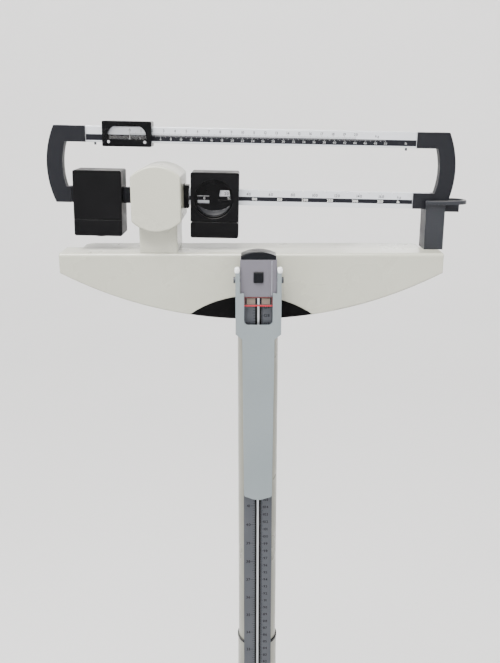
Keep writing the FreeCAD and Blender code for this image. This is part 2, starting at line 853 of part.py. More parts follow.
def head_casing():
    """Front shell and rear cover, a black plate in the arched recess, and the cover's screws."""
    front = new_body()
    outline = casing_outline("head_width / 2", "0", "head_top")
    pad(front, "Y", "head_front", "head_split - head_front", outline)
    soften(
        front,
        "4",
        lambda edge: abs(middle_of(edge).y - worth("head_front")) < 0.01
        and middle_of(edge).z > worth("head_top") - 0.1,
    )
    soften(
        front,
        "1.5",
        lambda edge: abs(middle_of(edge).y - worth("head_front")) < 0.01
        and middle_of(edge).z < worth("head_top") - 10,
    )
    hollow = casing_outline("head_width / 2 - head_wall", "head_wall", "head_top - head_wall")
    pocket(front, "Y", "head_front + head_wall", "head_split - head_front", hollow)
    lens = [
        ("-recess_half", curve_height("recess_half", "-1"), curve_radius() + " + 1"),
        ("recess_half", curve_height("recess_half", "-1"), "recess_arc"),
    ]
    pocket(front, "Y", "head_front - 1", "recess_depth + 1", lens)
    pad(front, "Y", "head_front + head_wall - 0.5", "head_split - head_front - head_wall + 0.5",
        *[circle(x, z, "5") for x, z in SCREWS])
    pocket(front, "Y", "head_front + 12", "head_split", *[circle(x, z, "2") for x, z in SCREWS])
    # the column's spigot enters from below, and the link drops in through the top
    pocket(front, "Z", "head_low_z - 2", "12", circle("-head_x", "column_y", "17.3"))
    link_hole = rectangle(
        "tower_x - head_x - 17", "neck_front + 4", "tower_x - head_x + 14", "neck_back - 4"
    )
    pocket(front, "Z", "head_top - 5", "8", link_hole)
    node("head_front_shell", place(front, "head_x", 0, 0))

    rear = new_body()
    outline = casing_outline("rear_width / 2", "6", "head_top")
    pad(rear, "Y", "head_split", "head_back - head_split", outline)
    soften(
        rear,
        "11",
        lambda edge: abs(middle_of(edge).y - worth("head_back")) < 0.01
        and middle_of(edge).z < worth("head_top") - 1,
    )
    hollow = casing_outline("rear_width / 2 - head_wall", "6 + head_wall", "head_top - head_wall")
    pocket(rear, "Y", "head_split - 1", "head_back - head_split - 9", hollow)
    deeper = casing_outline("rear_width / 2 - 14", "6 + 14", "head_top - 14")
    pocket(rear, "Y", "head_split - 1", "head_back - head_split - 2", deeper)
    pad(rear, "Y", "head_split", "head_back - head_split - 2", *[circle(x, z, "6") for x, z in SCREWS])
    pocket(rear, "Y", "head_split - 1", "50", *[circle(x, z, "2") for x, z in SCREWS])
    pocket(rear, "Y", "head_back - 3", "10", *[circle(x, z, "4.2") for x, z in SCREWS])
    pocket(rear, "Z", "head_low_z - 2", "14", circle("-head_x", "column_y", "17.3"))
    pocket(rear, "Z", "head_top - 5", "8", link_hole)
    node("head_rear_cover", place(rear, "head_x", 0, 0))

    plate = new_body()
    plate_half = "(recess_half - 2)"
    plate_tip = curve_height(plate_half, "0.4")
    lens = [
        (f"-{plate_half}", plate_tip, curve_radius() + " - 0.4"),
        (plate_half, plate_tip, "recess_arc - 0.2"),
    ]
    pad(plate, "Y", "head_front + 0.4", "recess_depth - 0.4", lens)
    node("recess_plate", place(plate, "head_x", 0, 0))

    fasteners = []
    for x, z in SCREWS:
        shank_start = (f"head_x + {x}", "head_split - 12", z)
        shank = cylinder("Y", shank_start, "2", "head_back - 3 - head_split + 12")
        head = cylinder("Y", (f"head_x + {x}", "head_back - 3", z), "4", "2.4")
        slot = box((f"head_x + {x} - 5", "head_back - 1.6", f"{z} - 0.5"), ("10", "2", "1"))
        fasteners.append(cut(join(shank, head), slot))
    node("cover_screws", group(*fasteners))


def head_frame():
    """Spigot in the column's top, a bar inside the casing, and two cheeks for the lever's pin."""
    spigot = cylinder("Z", ("0", "column_y", "column_top - 60"), "upper_radius - tube_wall", "60")
    neck = cylinder("Z", ("0", "column_y", "column_top"), "17", "21.8")
    bar = box(("-26", "172", "1354"), ("transfer_fulcrum_x + 38", "38", "5.5"))
    cheeks = [
        box(("transfer_fulcrum_x - 8", edge, "1354"), ("16", "4", "transfer_z + 8 - 1354"))
        for edge in ("172", "206")
    ]
    bore = cylinder("Z", ("0", "column_y", "column_top - 61"), "12", "100")
    pin_start = ("transfer_fulcrum_x", "170", "transfer_z")
    pin_hole = cylinder("Y", pin_start, "hook_pin_radius + pin_play", "44")
    node("head_frame", cut(join(spigot, neck, bar, *cheeks), bore, pin_hole))


def transfer_lever():
    """Ladder lever: two side plates with cross pins for the link, the draft rod and the fulcrum."""
    link_x = "(tower_x - link_reach)"
    plates = [
        box((f"{link_x} - 6", edge, "transfer_z - 6"), (f"transfer_fulcrum_x + 12 - {link_x}", "4", "12"))
        for edge in ("178", "200")
    ]
    spacers = [
        box((f"{x}", "182", "transfer_z - 5"), ("8", "18", "10")) for x in (-80, 40)
    ]
    pins = [
        cylinder("Y", (x, "178", "transfer_z"), "hook_pin_radius", "26") for x in (link_x, "0")
    ]
    fulcrum = cylinder("Y", ("transfer_fulcrum_x", "172.2", "transfer_z"), "hook_pin_radius", "37.6")
    node("transfer_lever", join(*plates, *spacers, *pins, fulcrum))


def link_stirrup():
    """Stirrup that hangs on the beam's load knives and pulls on the transfer lever's end."""
    middle = "(tower_x - link_reach)"
    # the load knives sit a little above the fulcrum's height, because the beam rests tilted
    seat = "fulcrum_z + link_reach * sin(beam_tilt) + fit_gap"
    pads = [
        box((f"{middle} - 4", edge, seat), ("8", "10", "4")) for edge in ("beam_y - 20", "beam_y + 10")
    ]
    legs = [
        box((f"{middle} - 4", edge, "1430"), ("8", "3", f"{seat} + 4 - 1430"))
        for edge in ("beam_y - 20", "beam_y + 17")
    ]
    cross = box((f"{middle} - 4", "beam_y - 20", "1430"), ("8", "40", "4"))
    loop_z = "transfer_z - hook_pin_radius + hook_ring - hook_wire - fit_gap"
    loop = ring("Y", (middle, "beam_y", loop_z), "hook_ring", "hook_wire")
    drop_start = (middle, "beam_y", f"{loop_z} + hook_ring")
    drop = cylinder("Z", drop_start, "draft_radius", f"1431 - ({loop_z}) - hook_ring")
    node("link_stirrup", join(*pads, *legs, cross, drop, loop))


# ---------------------------------------------------------------- tower


def lens_outline(inset):
    """The tower's front view: straight sides with a bowed top and bottom."""
    half = f"(tower_width / 2 - {inset})"
    return [
        (f"-{half}", f"tower_low + {inset} * 0.6", f"tower_arc - {inset}"),
        (half, f"tower_low + {inset} * 0.6"),
        (half, f"tower_high - {inset} * 0.6", f"tower_arc - {inset}"),
        (f"-{half}", f"tower_high - {inset} * 0.6"),
    ]


def tower():
    """Neck on the casing, and a two-part housing that the beam passes through."""
    neck = new_body()
    half = "neck_width / 2"
    outline = rectangle(f"-{half}", "neck_front", half, "neck_back")
    pad(neck, "Z", "head_top", "neck_top - head_top", outline)
    soften(neck, "2", lambda edge: runs_along(edge, "Z"))
    hollow = rectangle(f"-{half} + 3", "neck_front + 3", f"{half} - 3", "neck_back - 3")
    pocket(neck, "Z", "head_top - 1", "60", hollow)
    node("tower_neck", place(neck, "tower_x", 0, 0))

    neck_hole = rectangle(f"-{half}", "neck_front", half, "neck_back")
    slot = rectangle("beam_y - 9.5", "fulcrum_z - 14", "beam_y + 9.5", "fulcrum_z + 14")
    front = new_body()
    pad(front, "Y", "tower_front", "beam_y - tower_front", lens_outline("0"))
    soften(front, "3", lambda edge: runs_along(edge, "Y"))
    soften(front, "2", lambda edge: abs(middle_of(edge).y - worth("tower_front")) < 0.01)
    pocket(front, "Y", "tower_front + 3", "beam_y", lens_outline("3"))
    pocket(front, "Z", "tower_low - 15", "neck_top - tower_low + 15", neck_hole)
    pocket(front, "X", "-40", "80", slot)
    node("tower_front_housing", place(front, "tower_x", 0, 0))

    back = new_body()
    pad(back, "Y", "beam_y", "tower_back - beam_y", lens_outline("0"))
    soften(back, "3", lambda edge: runs_along(edge, "Y"))
    soften(back, "2", lambda edge: abs(middle_of(edge).y - worth("tower_back")) < 0.01)
    pocket(back, "Y", "beam_y - 1", "tower_back - beam_y - 2", lens_outline("3"))
    pocket(back, "Z", "tower_low - 15", "neck_top - tower_low + 15", neck_hole)
    pocket(back, "X", "-40", "80", slot)
    node("tower_rear_housing", place(back, "tower_x", 0, 0))

    supports = []
    for edge in ("beam_y - 15", "beam_y + 9"):
        support = new_body()
        wall = "neck_width / 2 - 3"
        outline = [
            (wall, "head_top + 6"),
            (wall, "neck_top"),
            ("8", "fulcrum_z - fit_gap + 3"),
            ("4", "fulcrum_z - fit_gap + 3"),
            ("0", "fulcrum_z - fit_gap"),
            ("-4", "fulcrum_z - fit_gap + 3"),
            ("-5", "fulcrum_z - fit_gap + 3"),
            ("-5", "fulcrum_z - 9"),
            ("9", "fulcrum_z - 20"),
            ("9", "head_top + 6"),
        ]
        pad(support, "Y", edge, "6", outline)
        supports.append(place(support, "tower_x", 0, 0))
    node("fulcrum_bearings", group(*supports))


# ---------------------------------------------------------------- beam


def yoke_outline(bulge, side):
    """Curved end of the beam: two level arms joined by a bowed upright."""
    low, high = "-bar_height / 2", "bar_spacing + bar_height / 2"
    middle = "(bar_spacing / 2)"
    outer_drop = f"(yoke_arc - sqrt(yoke_arc^2 - ({middle} + bar_height / 2)^2))"
    inner = "(yoke_arc - yoke_width)"
    inner_half = f"({middle} - bar_height / 2)"
    inner_drop = f"({inner} - sqrt({inner}^2 - {inner_half}^2))"
    out = f"{bulge} - {side} * {outer_drop}"
    into = f"{bulge} - {side} * yoke_width - {side} * {inner_drop}"
    arm = "right_arm_end" if side == 1 else "left_arm_end"
    lower_arm = "right_arm_end" if side == 1 else "-18"
    turn = side
    return [
        (lower_arm, low),
        (out, low, f"{turn} * yoke_arc"),
        (out, high),
        (arm, high),
        (arm, f"{high} - bar_height"),
        (into, f"{high} - bar_height", f"-1 * {turn} * {inner}"),
        (into, "bar_height / 2"),
        (lower_arm, "bar_height / 2"),
    ]


def yokes():
    """Moulded ends that hold both bars; the left one's lower arm runs on to the fulcrum."""
    for name, bulge, side in (("left_yoke", "left_bulge", -1), ("right_yoke", "right_bulge", 1)):
        body = new_body()
        pad(body, "Y", "-yoke_thick / 2", "yoke_thick", yoke_outline(bulge, side))
        arm = "right_arm_end" if side == 1 else "left_arm_end"
        start = f"{arm} - 1" if side == 1 else f"{arm} - 20"
        heights = [("bar_spacing - bar_height", "bar_spacing + bar_height")]
        if side == 1:
            heights.append(("-bar_height", "bar_height"))
        for low, high in heights:
            pocket(body, "X", start, "21", rectangle("-bar_thick / 2", low, "bar_thick / 2", high))
        if side == 1:
            tail = rectangle("right_bulge - 9", "-12", "right_bulge + 8.4", "-3")
            pad(body, "Y", "-yoke_thick / 2 + 2", "yoke_thick - 4", tail)
        else:
            for low in ("-yoke_thick / 2 - 1", "bar_thick / 2"):
                trim = rectangle("left_bulge + 27", "-bar_height", "0", "bar_height")
                pocket(body, "Y", low, "yoke_thick / 2 - bar_thick / 2 + 1", trim)
        node(name, on_beam(body))


def bars():
    """Two flat bars with the weight scales; the lower one has notches for the coarse poise."""
    half = "bar_thick / 2"
    upper = new_body()
    outline = rectangle(
        "left_arm_end - 20",
        "bar_spacing - bar_height / 2",
        "right_arm_end + 20",
        "bar_spacing + bar_height / 2",
    )
    pad(upper, "Y", f"-1 * {half}", "bar_thick", outline)
    soften(upper, "0.5", lambda edge: runs_along(edge, "X"), "Chamfer")
    node("upper_bar", on_beam(upper))

    lower = new_body()
    outline = rectangle("-2", "-bar_height / 2", "right_arm_end + 20", "bar_height / 2")
    pad(lower, "Y", f"-1 * {half}", "bar_thick", outline)
    first = "notch_first"
    top = "bar_height / 2"
    notch = pocket(
        lower,
        "Y",
        f"-1 * {half} - 1",
        "bar_thick + 2",
        [(f"{first} - 1.6", f"{top} + 0.2"), (first, f"{top} - 2"), (f"{first} + 1.6", f"{top} + 0.2")],
    )
    repeat(lower, notch, "X_Axis", "notch_pitch", 9)
    node("lower_bar", on_beam(lower))

    stops = [
        cylinder("Z", (along, "0", "bar_spacing - bar_height / 2 - 3"), "1.25", "3")
        for along in ("fine_left - 10", "fine_left + fine_width + 290.5")
    ]
    node("stop_pins", on_beam(group(*stops)))


def fulcrum_block():
    """Sleeve that clamps the arm and the lower bar together, with knives on both its faces."""
    sleeve = box(("-18", "-6.5", "-10.5"), ("46.4", "13", "21"))
    flange = box(("28.4", "-9", "-13"), ("5", "18", "26"))
    bar_hole = box(("-20", "-bar_thick / 2", "-bar_height / 2"), ("60", "bar_thick", "bar_height"))
    node("fulcrum_block", on_beam(cut(join(sleeve, flange), bar_hole)))
    knives = []
    for start in ("-15", "6.5"):
        fulcrum = new_body()
        pad(fulcrum, "Y", start, "8.5", [("0", "0"), ("3", "5"), ("-3", "5")])
        knives.append(fulcrum)
    for start, length in (("-17", "10.5"), ("6.5", "8.5")):
        load = new_body()
        tip = [("-link_reach", "0"), ("-link_reach - 3", "-5"), ("-link_reach + 3", "-5")]
        pad(load, "Y", start, length, tip)
        knives.append(load)
    node("beam_knives", on_beam(group(*knives)))


# ---------------------------------------------------------------- poises


def poise_block(left, grooved):
    """A weight with rounded edges, a cross groove, and a slot that the bar runs through."""
    body = new_body()
    right = f"{left} + poise_width"
    pad(body, "Y", "-poise_depth / 2", "poise_depth", rectangle(left, "poise_bottom", right, "poise_top"))
    soften(body, "2.2", lambda edge: runs_along(edge, "Y"))
    if grooved:
        for start in ("-poise_depth / 2 - 1", "poise_depth / 2 - 1"):
            line = rectangle(f"{left} - 1", "poise_groove - 0.5", f"{right} + 1", "poise_groove + 0.5")
            pocket(body, "Y", start, "2", line)
    gap = "fit_gap"
    slot_half, slot_top = f"(bar_thick / 2 + {gap})", f"(bar_height / 2 + {gap})"
    slot = rectangle(f"-1 * {slot_half}", f"-1 * {slot_top}", slot_half, slot_top)
    pocket(body, "X", f"{left} - 5", "poise_width + 10", slot)
    return body


def coarse_poise():
    """Large weight on the lower bar: body, screwed-on base, dished dial and a sprung pawl."""
    body = poise_block("coarse_left", False)
    right = "coarse_left + poise_width"
    base_line = rectangle("coarse_left - 5", "poise_bottom - 5", f"{right} + 5", "poise_groove")
    pocket(body, "Y", "-poise_depth", "2 * poise_depth", base_line)
    dish = circle("dial_u", "dial_w", "dial_radius")
    pocket(body, "Y", "-poise_depth / 2 - 1", "poise_depth / 2 - 4 + 1", dish)
    pocket(body, "Z", "8", "11.4", rectangle("dial_u - 6.4", "-4.4", "dial_u + 6.4", "4.4"))
    node("coarse_poise", on_beam(body))

    base = new_body()
    outline = rectangle("coarse_left", "poise_bottom", right, "poise_groove - 0.9")
    pad(base, "Y", "-poise_depth / 2", "poise_depth", outline)
    soften(base, "2.2", lambda edge: runs_along(edge, "Y"))
    shoulder = rectangle("coarse_left + 2", "-17", f"{right} - 2", "17")
    pad(base, "Z", "poise_groove - 1", "1", shoulder)
    node("coarse_poise_base", on_beam(base))

    dial = new_body()
    pad(dial, "Y", "-10", "2.6", circle("dial_u", "dial_w", "dial_radius"))
    pad(dial, "Y", "-15", "5.1", circle("dial_u", "dial_w", "dial_radius"))
    pocket(dial, "Y", "-15.5", "5.5", circle("dial_u", "dial_w", "dial_radius - 2.2"))
    views = [
        [
            ("dial_u + 5.6", "-2.6"),
            ("dial_u + 19.4", "-2.6"),
            ("dial_u + 17.4", "8.4"),
            ("dial_u + 7", "8.4"),
        ],
        rectangle("dial_u - 19", "-6.8", "dial_u - 5.4", "1.8"),
    ]
    pocket(dial, "Y", "-12", "8", *views)
    node("coarse_dial", on_beam(dial))

    pawl = new_body()
    pad(pawl, "Y", "-3", "6", rectangle("dial_u - 6", "9.8", "dial_u + 6", "19"))
    tip = "bar_height / 2 + fit_gap"
    tooth = [("dial_u - 1", "9.9"), ("dial_u + 0.2", tip), ("dial_u + 1.4", "9.9")]
    pad(pawl, "Y", "-3", "6", tooth)
    node("coarse_pawl", on_beam(pawl))


def balance_weight():
    """Counterweight left of the tower, with the screw that locks it on the arm."""
    body = poise_block("balance_left", True)
    middle = "balance_left + poise_width / 2"
    pocket(body, "Z", "poise_bottom - 1", "60", circle(middle, 0, "3"))
    node("balance_weight", on_beam(body))
    screw = new_body()
    profile = [
        ("0", "poise_bottom - 2.4"),
        ("7", "poise_bottom - 2.4"),
        ("8", "poise_bottom - 1.6"),
        ("8", "poise_bottom"),
        ("3", "poise_bottom"),
        ("3", "-bar_height / 2 - fit_gap"),
        ("0", "-bar_height / 2 - fit_gap"),
    ]
    revolve(screw, profile)
    # the screw is drawn about its own axis, so it moves along the beam before it tilts
    shift = doc.addObject("Part::Compound", "Screw")
    shift.Links = [place(screw, middle, 0, 0)]
    node("balance_screw", on_beam(shift))


def fine_poise():
    """Small poise on the upper bar: body with a window, its screws and a clear index plate."""
    body = new_body()
    right = "fine_left + fine_width"
    pad(body, "Y", "-fine_depth / 2", "fine_depth", rectangle("fine_left", "fine_low", right, "fine_high"))
    soften(body, "1.6", lambda edge: runs_along(edge, "Y"))
    gap = "fit_gap"
    slot = rectangle(
        f"-bar_thick / 2 - {gap}",
        f"bar_spacing - bar_height / 2 - {gap}",
        f"bar_thick / 2 + {gap}",
        f"bar_spacing + bar_height / 2 + {gap}",
    )
    pocket(body, "X", "fine_left - 1", "fine_width + 2", slot)
    left, far = "fine_left + 5.8", "fine_left + fine_width - 5.8"
    window = [
        (left, "fine_low + 8.2"),
        (far, "fine_low + 8.2"),
        (far, "fine_low + 12", "13"),
        (f"{far} - 10", "fine_high - 4.6"),
        (f"{left} + 10", "fine_high - 4.6", "13"),
        (left, "fine_low + 12"),
    ]
    pocket(body, "Y", "-fine_depth / 2 - 1", "fine_depth / 2", window)
    screw_places = ("fine_left + 7.4", "fine_left + fine_width - 7.4")
    holes = [circle(edge, "fine_low + 5.2", "1.6") for edge in screw_places]
    pocket(body, "Y", "-fine_depth / 2 - 1", "6", *holes)
    node("fine_poise", on_beam(body))

    screws = [
        cylinder("Y", (edge, "-fine_depth / 2 - 0.8", "fine_low + 5.2"), "1.6", "5.8")
        for edge in screw_places
    ]
    node("fine_poise_screws", on_beam(group(*screws)))

    index = new_body()
    plate = rectangle(left, "fine_low + 8.3", far, "fine_low + 12")
    pad(index, "Y", "-6.2", "1.4", plate)
    pointer = [
        ("fine_left + 28.4", "fine_low + 11.9"),
        ("fine_left + 32.2", "fine_low + 11.9"),
        ("fine_left + 30.3", "fine_low + 15.5"),
    ]
    pad(index, "Y", "-6.2", "1.4", pointer)
    node("fine_index", on_beam(index))


# ---------------------------------------------------------------- beam catch


def beam_catch():
    """Post that the beam comes to rest on, and a level loop that guides the beam's tail."""
    post = box(("post_left", "post_front", "head_top"), ("post_width", "post_depth", "post_top - head_top"))
    ears = [
        box(("post_left", edge, "post_top - 1"), ("post_width", "4.2", "loop_low - post_top + 1"))
        for edge in ("post_front", "post_front + post_depth - 4.2")
    ]
    node("catch_post", join(post, *ears))
    loop = new_body()
    far = "loop_front + loop_depth"
    half = "(loop_depth / 2)"
    outer = [
        ("loop_left", "loop_front"),
        (f"loop_right - {half}", "loop_front", half + " + 0.001"),
        (f"loop_right - {half}", far),
        ("loop_left", far),
    ]
    pad(loop, "Z", "loop_low", "loop_height", outer)
    bar = "4.5"
    # the loop is a hairpin: its two legs rest on the post's ears and the beam enters between them
    inner = [
        ("loop_left - 1", f"loop_front + {bar}"),
        (f"loop_right - {half}", f"loop_front + {bar}", f"{half} - {bar} + 0.001"),
        (f"loop_right - {half}", f"{far} - {bar}"),
        ("loop_left - 1", f"{far} - {bar}"),
    ]
    pocket(loop, "Z", "loop_low - 1", "loop_height + 2", inner)
    soften(loop, "1.8", lambda edge: abs(middle_of(edge).z - worth("loop_low + loop_height")) < 0.01)
    node("catch_loop", loop)


# ---------------------------------------------------------------- height rod


def height_rod():
    """Channel fixed to the column, an inner rod that pulls up out of it, saddles and a cap."""
    outer = new_body()
    half = "rod_width / 2"
    back = "rod_front + rod_depth"
    slot, room = "(rod_slot / 2)", "(rod_cavity / 2)"
    section = [
        (f"-{half}", "rod_front"),
        (f"-1 * {slot}", "rod_front"),
        (f"-1 * {slot}", "rod_front + 5"),
        (f"-1 * {room}", "rod_front + 5"),
        (f"-1 * {room}", f"{back} - 4"),
        (room, f"{back} - 4"),
        (room, "rod_front + 5"),
        (slot, "rod_front + 5"),
        (slot, "rod_front"),
        (half, "rod_front"),
        (half, back),
        (f"-{half}", back),
    ]
    pad(outer, "Z", "rod_bottom", "rod_top - rod_bottom", section)
    node("rod_outer", outer)

    inner = new_body()
    gap = "fit_gap"
    section = [
        (f"-1 * {room} + {gap}", f"rod_front + 5 + {gap}"),
        ("-1", f"rod_front + 5 + {gap}"),
        ("-1", "rod_front + 0.6"),
        ("1", "rod_front + 0.6"),
        ("1", f"rod_front + 5 + {gap}"),
        (f"{room} - {gap}", f"rod_front + 5 + {gap}"),
        (f"{room} - {gap}", f"{back} - 4 - {gap}"),
        (f"-1 * {room} + {gap}", f"{back} - 4 - {gap}"),
    ]
    pad(inner, "Z", "inner_bottom", "inner_top - inner_bottom", section)
    node("rod_inner", inner)

    cap = new_body()
    low, high = "inner_top", "inner_top + 9.3"
    outline = [
        ("-slider_width / 2 + 1", low),
        ("slider_width / 2 - 1", low),
        ("slider_width / 2 - 1", f"{low} + 4", "44"),
        ("-slider_width / 2 + 1", f"{low} + 4"),
    ]
    pad(cap, "Y", "slider_front", "rod_front + rod_depth - slider_front", outline)
    soften(
        cap,
        "1.2",
        lambda edge: abs(middle_of(edge).y - worth("slider_front")) < 0.01
        and middle_of(edge).z > worth("inner_top") + 5,
    )
    node("rod_cap", cap)

    saddles = []
    for low in ("saddle_top_z", "saddle_middle_z", "saddle_low_z"):
        radius = "lower_radius" if low == "saddle_low_z" else "upper_radius"
        block = box(("-13", "rod_front + rod_depth", low), ("26", "22", "saddle_height"))
        tube = cylinder("Z", ("0", "column_y", f"{low} - 1"), radius, "saddle_height + 2")
        saddles.append(cut(block, tube))
    node("rod_saddles", group(*saddles))


def slider():
    """Channel that runs on the rod, its reading frame, its release button and the tongue's pins."""
    body = new_body()
    half = "slider_width / 2"
    hug = "rod_width / 2 + fit_gap"
    section = [
        (f"-{half}", "slider_front"),
        (half, "slider_front"),
        (half, "rod_front + 16"),
        (hug, "rod_front + 16"),
        (hug, "rod_front - fit_gap"),
        (f"-({hug})", "rod_front - fit_gap"),
        (f"-({hug})", "rod_front + 16"),
        (f"-{half}", "rod_front + 16"),
    ]
    pad(body, "Z", "slider_low", "slider_high - slider_low", section)
    ridge = rectangle("12.4", "slider_front - 0.8", "14.2", "slider_front + 0.2")
    pad(body, "Z", "slider_low", "slider_high - slider_low", ridge)
    hole = rectangle(
        "-button_width / 2 - fit_gap",
        "button_z - button_height / 2 - fit_gap",
        "button_width / 2 + fit_gap",
        "button_z + button_height / 2 + fit_gap",
    )
    pocket(body, "Y", "slider_front - 2", "10", hole)
    pins = circle("hinge_y", "hinge_z", "hinge_pin")
    for start in (f"-{half} - 1", hug):
        pocket(body, "X", start, f"{half} + 1 - ({hug})", pins)
    node("slider_body", body)

    frame = new_body()
    frame_half = "(rod_width / 2 - 0.6)"
    outline = rectangle(f"-1 * {frame_half}", "window_low", frame_half, "slider_low")
    pad(frame, "Y", "slider_front + 0.4", "2.8", outline)
    sight_half = "(rod_width / 2 - 2.4)"
    sight = rectangle(f"-1 * {sight_half}", "window_low + 2", sight_half, "slider_low - 1.6")
    pocket(frame, "Y", "slider_front - 1", "2.6", sight)
    node("reading_frame", frame)

    button = new_body()
    half, tall = "button_width / 2", "button_height / 2"
    outline = rectangle(f"-{half}", f"button_z - {tall}", half, f"button_z + {tall}")
    pad(button, "Y", "slider_front - 2", "4", outline)
    soften(button, "0.8", lambda edge: abs(middle_of(edge).y - worth("slider_front - 2")) < 0.01)
    node("slider_button", button)

    pins = []
    for side in (-1, 1):
        start = f"{hug}" if side == 1 else "-fork_width / 2 - 2.4"
        shank = cylinder("X", (start, "hinge_y", "hinge_z"), "hinge_pin", f"fork_width / 2 + 2.4 - ({hug})")
        head_at = "fork_width / 2 + 0.4" if side == 1 else "-fork_width / 2 - 2.4"
        head = cylinder("X", (head_at, "hinge_y", "hinge_z"), "3.6", "2")
        pins.append(join(shank, head))
    node("tongue_pins", group(*pins))


def tongue():
    """Blade that hangs in front of the rod and swings up to touch the head, on a forked end."""
    body = new_body()
    wide, slim = "fork_width / 2", "tongue_width / 2"
    outline = [
        ("-tongue_width / 2 + 1.6", "tongue_tip + 3"),
        ("-tongue_width / 4", "tongue_tip", "22"),
        ("tongue_width / 4", "tongue_tip", "22"),
        ("tongue_width / 2 - 1.6", "tongue_tip + 3"),
        (slim, "fork_low - 6"),
        (wide, "fork_low"),
        (wide, "fork_high"),
        (f"-{wide}", "fork_high"),
        (f"-{wide}", "fork_low"),
        (f"-{slim}", "fork_low - 6"),
    ]
    pad(body, "Y", "tongue_front", "tongue_thick", outline)
    soften(
        body,
        "3",
        lambda edge: runs_along(edge, "Y")
        and middle_of(edge).z < worth("fork_low") - 20
        and abs(middle_of(edge).x) > worth("tongue_width") / 2 - 2,
    )
    window = rectangle("-16", "fork_high - 36.5", "16", "fork_high + 1")
    pocket(body, "Y", "tongue_front - 1", "tongue_thick + 2", window)
    soften(
        body,
        "5",
        lambda edge: runs_along(edge, "Y")
        and abs(abs(middle_of(edge).x) - 16) < 0.1
        and middle_of(edge).z < worth("fork_low") + 20,
    )
    arm = rectangle("tongue_front", "fork_high - 8", "tongue_front + 13", "arm_top")
    inside = "slider_width / 2 + fit_gap"
    pad(body, "X", inside, f"{wide} - ({inside})", arm)
    pad(body, "X", f"-{wide}", f"{wide} - ({inside})", arm)
    arm_tops = lambda edge: runs_along(edge, "X") and abs(middle_of(edge).z - worth("arm_top")) < 0.1
    soften(body, "5", arm_tops)
    pocket(body, "X", "-50", "100", circle("hinge_y", "hinge_z", "hinge_pin + pin_play"))
    # a stiffening rim down each side of the blade's back
    for start in ("-tongue_width / 2 + 2.2", "tongue_width / 2 - 4.2"):
        rim = rectangle(start, "tongue_tip + 4", f"{start} + 2", "fork_low - 12")
        pad(body, "Y", "tongue_front + tongue_thick - 0.5", "2.5", rim)
    node("tongue", body)


base_frame()
rubber_pads()
lever_stands()
rear_deck_cover()
castors()
platform()
long_lever()
short_lever()
draft_rod()
column()
head_casing()
head_frame()
transfer_lever()
link_stirrup()
tower()
yokes()
bars()
fulcrum_block()
coarse_poise()
balance_weight()
fine_poise()
beam_catch()
height_rod()
slider()
tongue()

# ---------------------------------------------------------------- checks and files

doc.recompute()
faults = [item.Name for item in doc.Objects if {"Invalid", "Error"} & set(item.State)]
for name, piece in nodes.items():
    if piece.Shape.isNull() or not piece.Shape.isValid() or not piece.Shape.Solids:
        faults.append(name)
if faults:
    raise SystemExit(f"failed to build: {faults}")

for name, piece in nodes.items():
    piece.Shape.exportStep(f"parts/{name}.step")
    bounds = piece.Shape.BoundBox
    print(f"{name:22s} {len(piece.Shape.Solids)} solids, {piece.Shape.Volume / 1000:9.2f} cm3, "
          f"x {bounds.XMin:7.1f} {bounds.XMax:7.1f}  y {bounds.YMin:7.1f} {bounds.YMax:7.1f}  "
          f"z {bounds.ZMin:7.1f} {bounds.ZMax:7.1f}")
print(len(nodes), "nodes")
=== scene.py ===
# %% [markdown]
# # A physician beam scale
# This lesson dresses a weighing scale that was built in CAD: a low platform, a round column,
# a cream head with a tilting double beam, and a height rod with a swinging tongue.
# The CAD model already has the shapes and the joints. Blender adds what CAD doesn't: paint,
# anodised metal, printed scales, small trim, light and a camera. The first cell loads the
# CAD model as it is, with a helper that gives each part's outer box, from which the trim is placed.

import json
import math

import bmesh
import bpy
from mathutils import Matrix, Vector


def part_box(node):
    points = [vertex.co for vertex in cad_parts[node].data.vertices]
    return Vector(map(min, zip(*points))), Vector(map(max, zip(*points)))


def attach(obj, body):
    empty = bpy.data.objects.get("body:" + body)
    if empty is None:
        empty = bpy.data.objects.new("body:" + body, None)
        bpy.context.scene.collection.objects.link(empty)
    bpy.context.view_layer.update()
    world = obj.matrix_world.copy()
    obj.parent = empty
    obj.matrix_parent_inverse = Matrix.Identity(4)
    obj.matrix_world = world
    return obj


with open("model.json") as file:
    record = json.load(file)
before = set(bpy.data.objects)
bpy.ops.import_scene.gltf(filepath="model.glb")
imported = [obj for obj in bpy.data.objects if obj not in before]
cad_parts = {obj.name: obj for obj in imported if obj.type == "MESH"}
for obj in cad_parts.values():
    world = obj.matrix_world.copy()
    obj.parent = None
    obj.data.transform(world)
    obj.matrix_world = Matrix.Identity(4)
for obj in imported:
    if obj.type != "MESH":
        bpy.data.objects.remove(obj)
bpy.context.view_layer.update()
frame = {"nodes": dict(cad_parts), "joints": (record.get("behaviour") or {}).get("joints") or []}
MM = 0.001

# %% [markdown]
# ## The camera
# A person reading the scale stands close to it and looks slightly down at the beam. A wide
# lens near the head gives the strong perspective of that view, so the casing looks large and
# the column narrows as it goes down. The camera is set from the column's own axis.

# %% Place the camera
EYE_HEIGHT = 1.569
EYE_DISTANCE = 0.920
EYE_LEFT = 9.5 * MM
LOOKING_DOWN = math.radians(15.63)

column_low, column_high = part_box("upper_column")
column_axis = (column_low + column_high) / 2
lens = bpy.data.cameras.new("reader_view")
lens.sensor_width = 36
lens.lens = 43.17
lens.clip_start, lens.clip_end = 0.05, 60
camera = bpy.data.objects.new("reader_view", lens)
camera.location = (column_axis.x - EYE_LEFT, column_axis.y - EYE_DISTANCE, EYE_HEIGHT)
camera.rotation_euler = (math.radians(90) - LOOKING_DOWN, 0, 0)
bpy.context.collection.objects.link(camera)
bpy.context.scene.camera = camera
print("camera at", [round(value, 3) for value in camera.location])

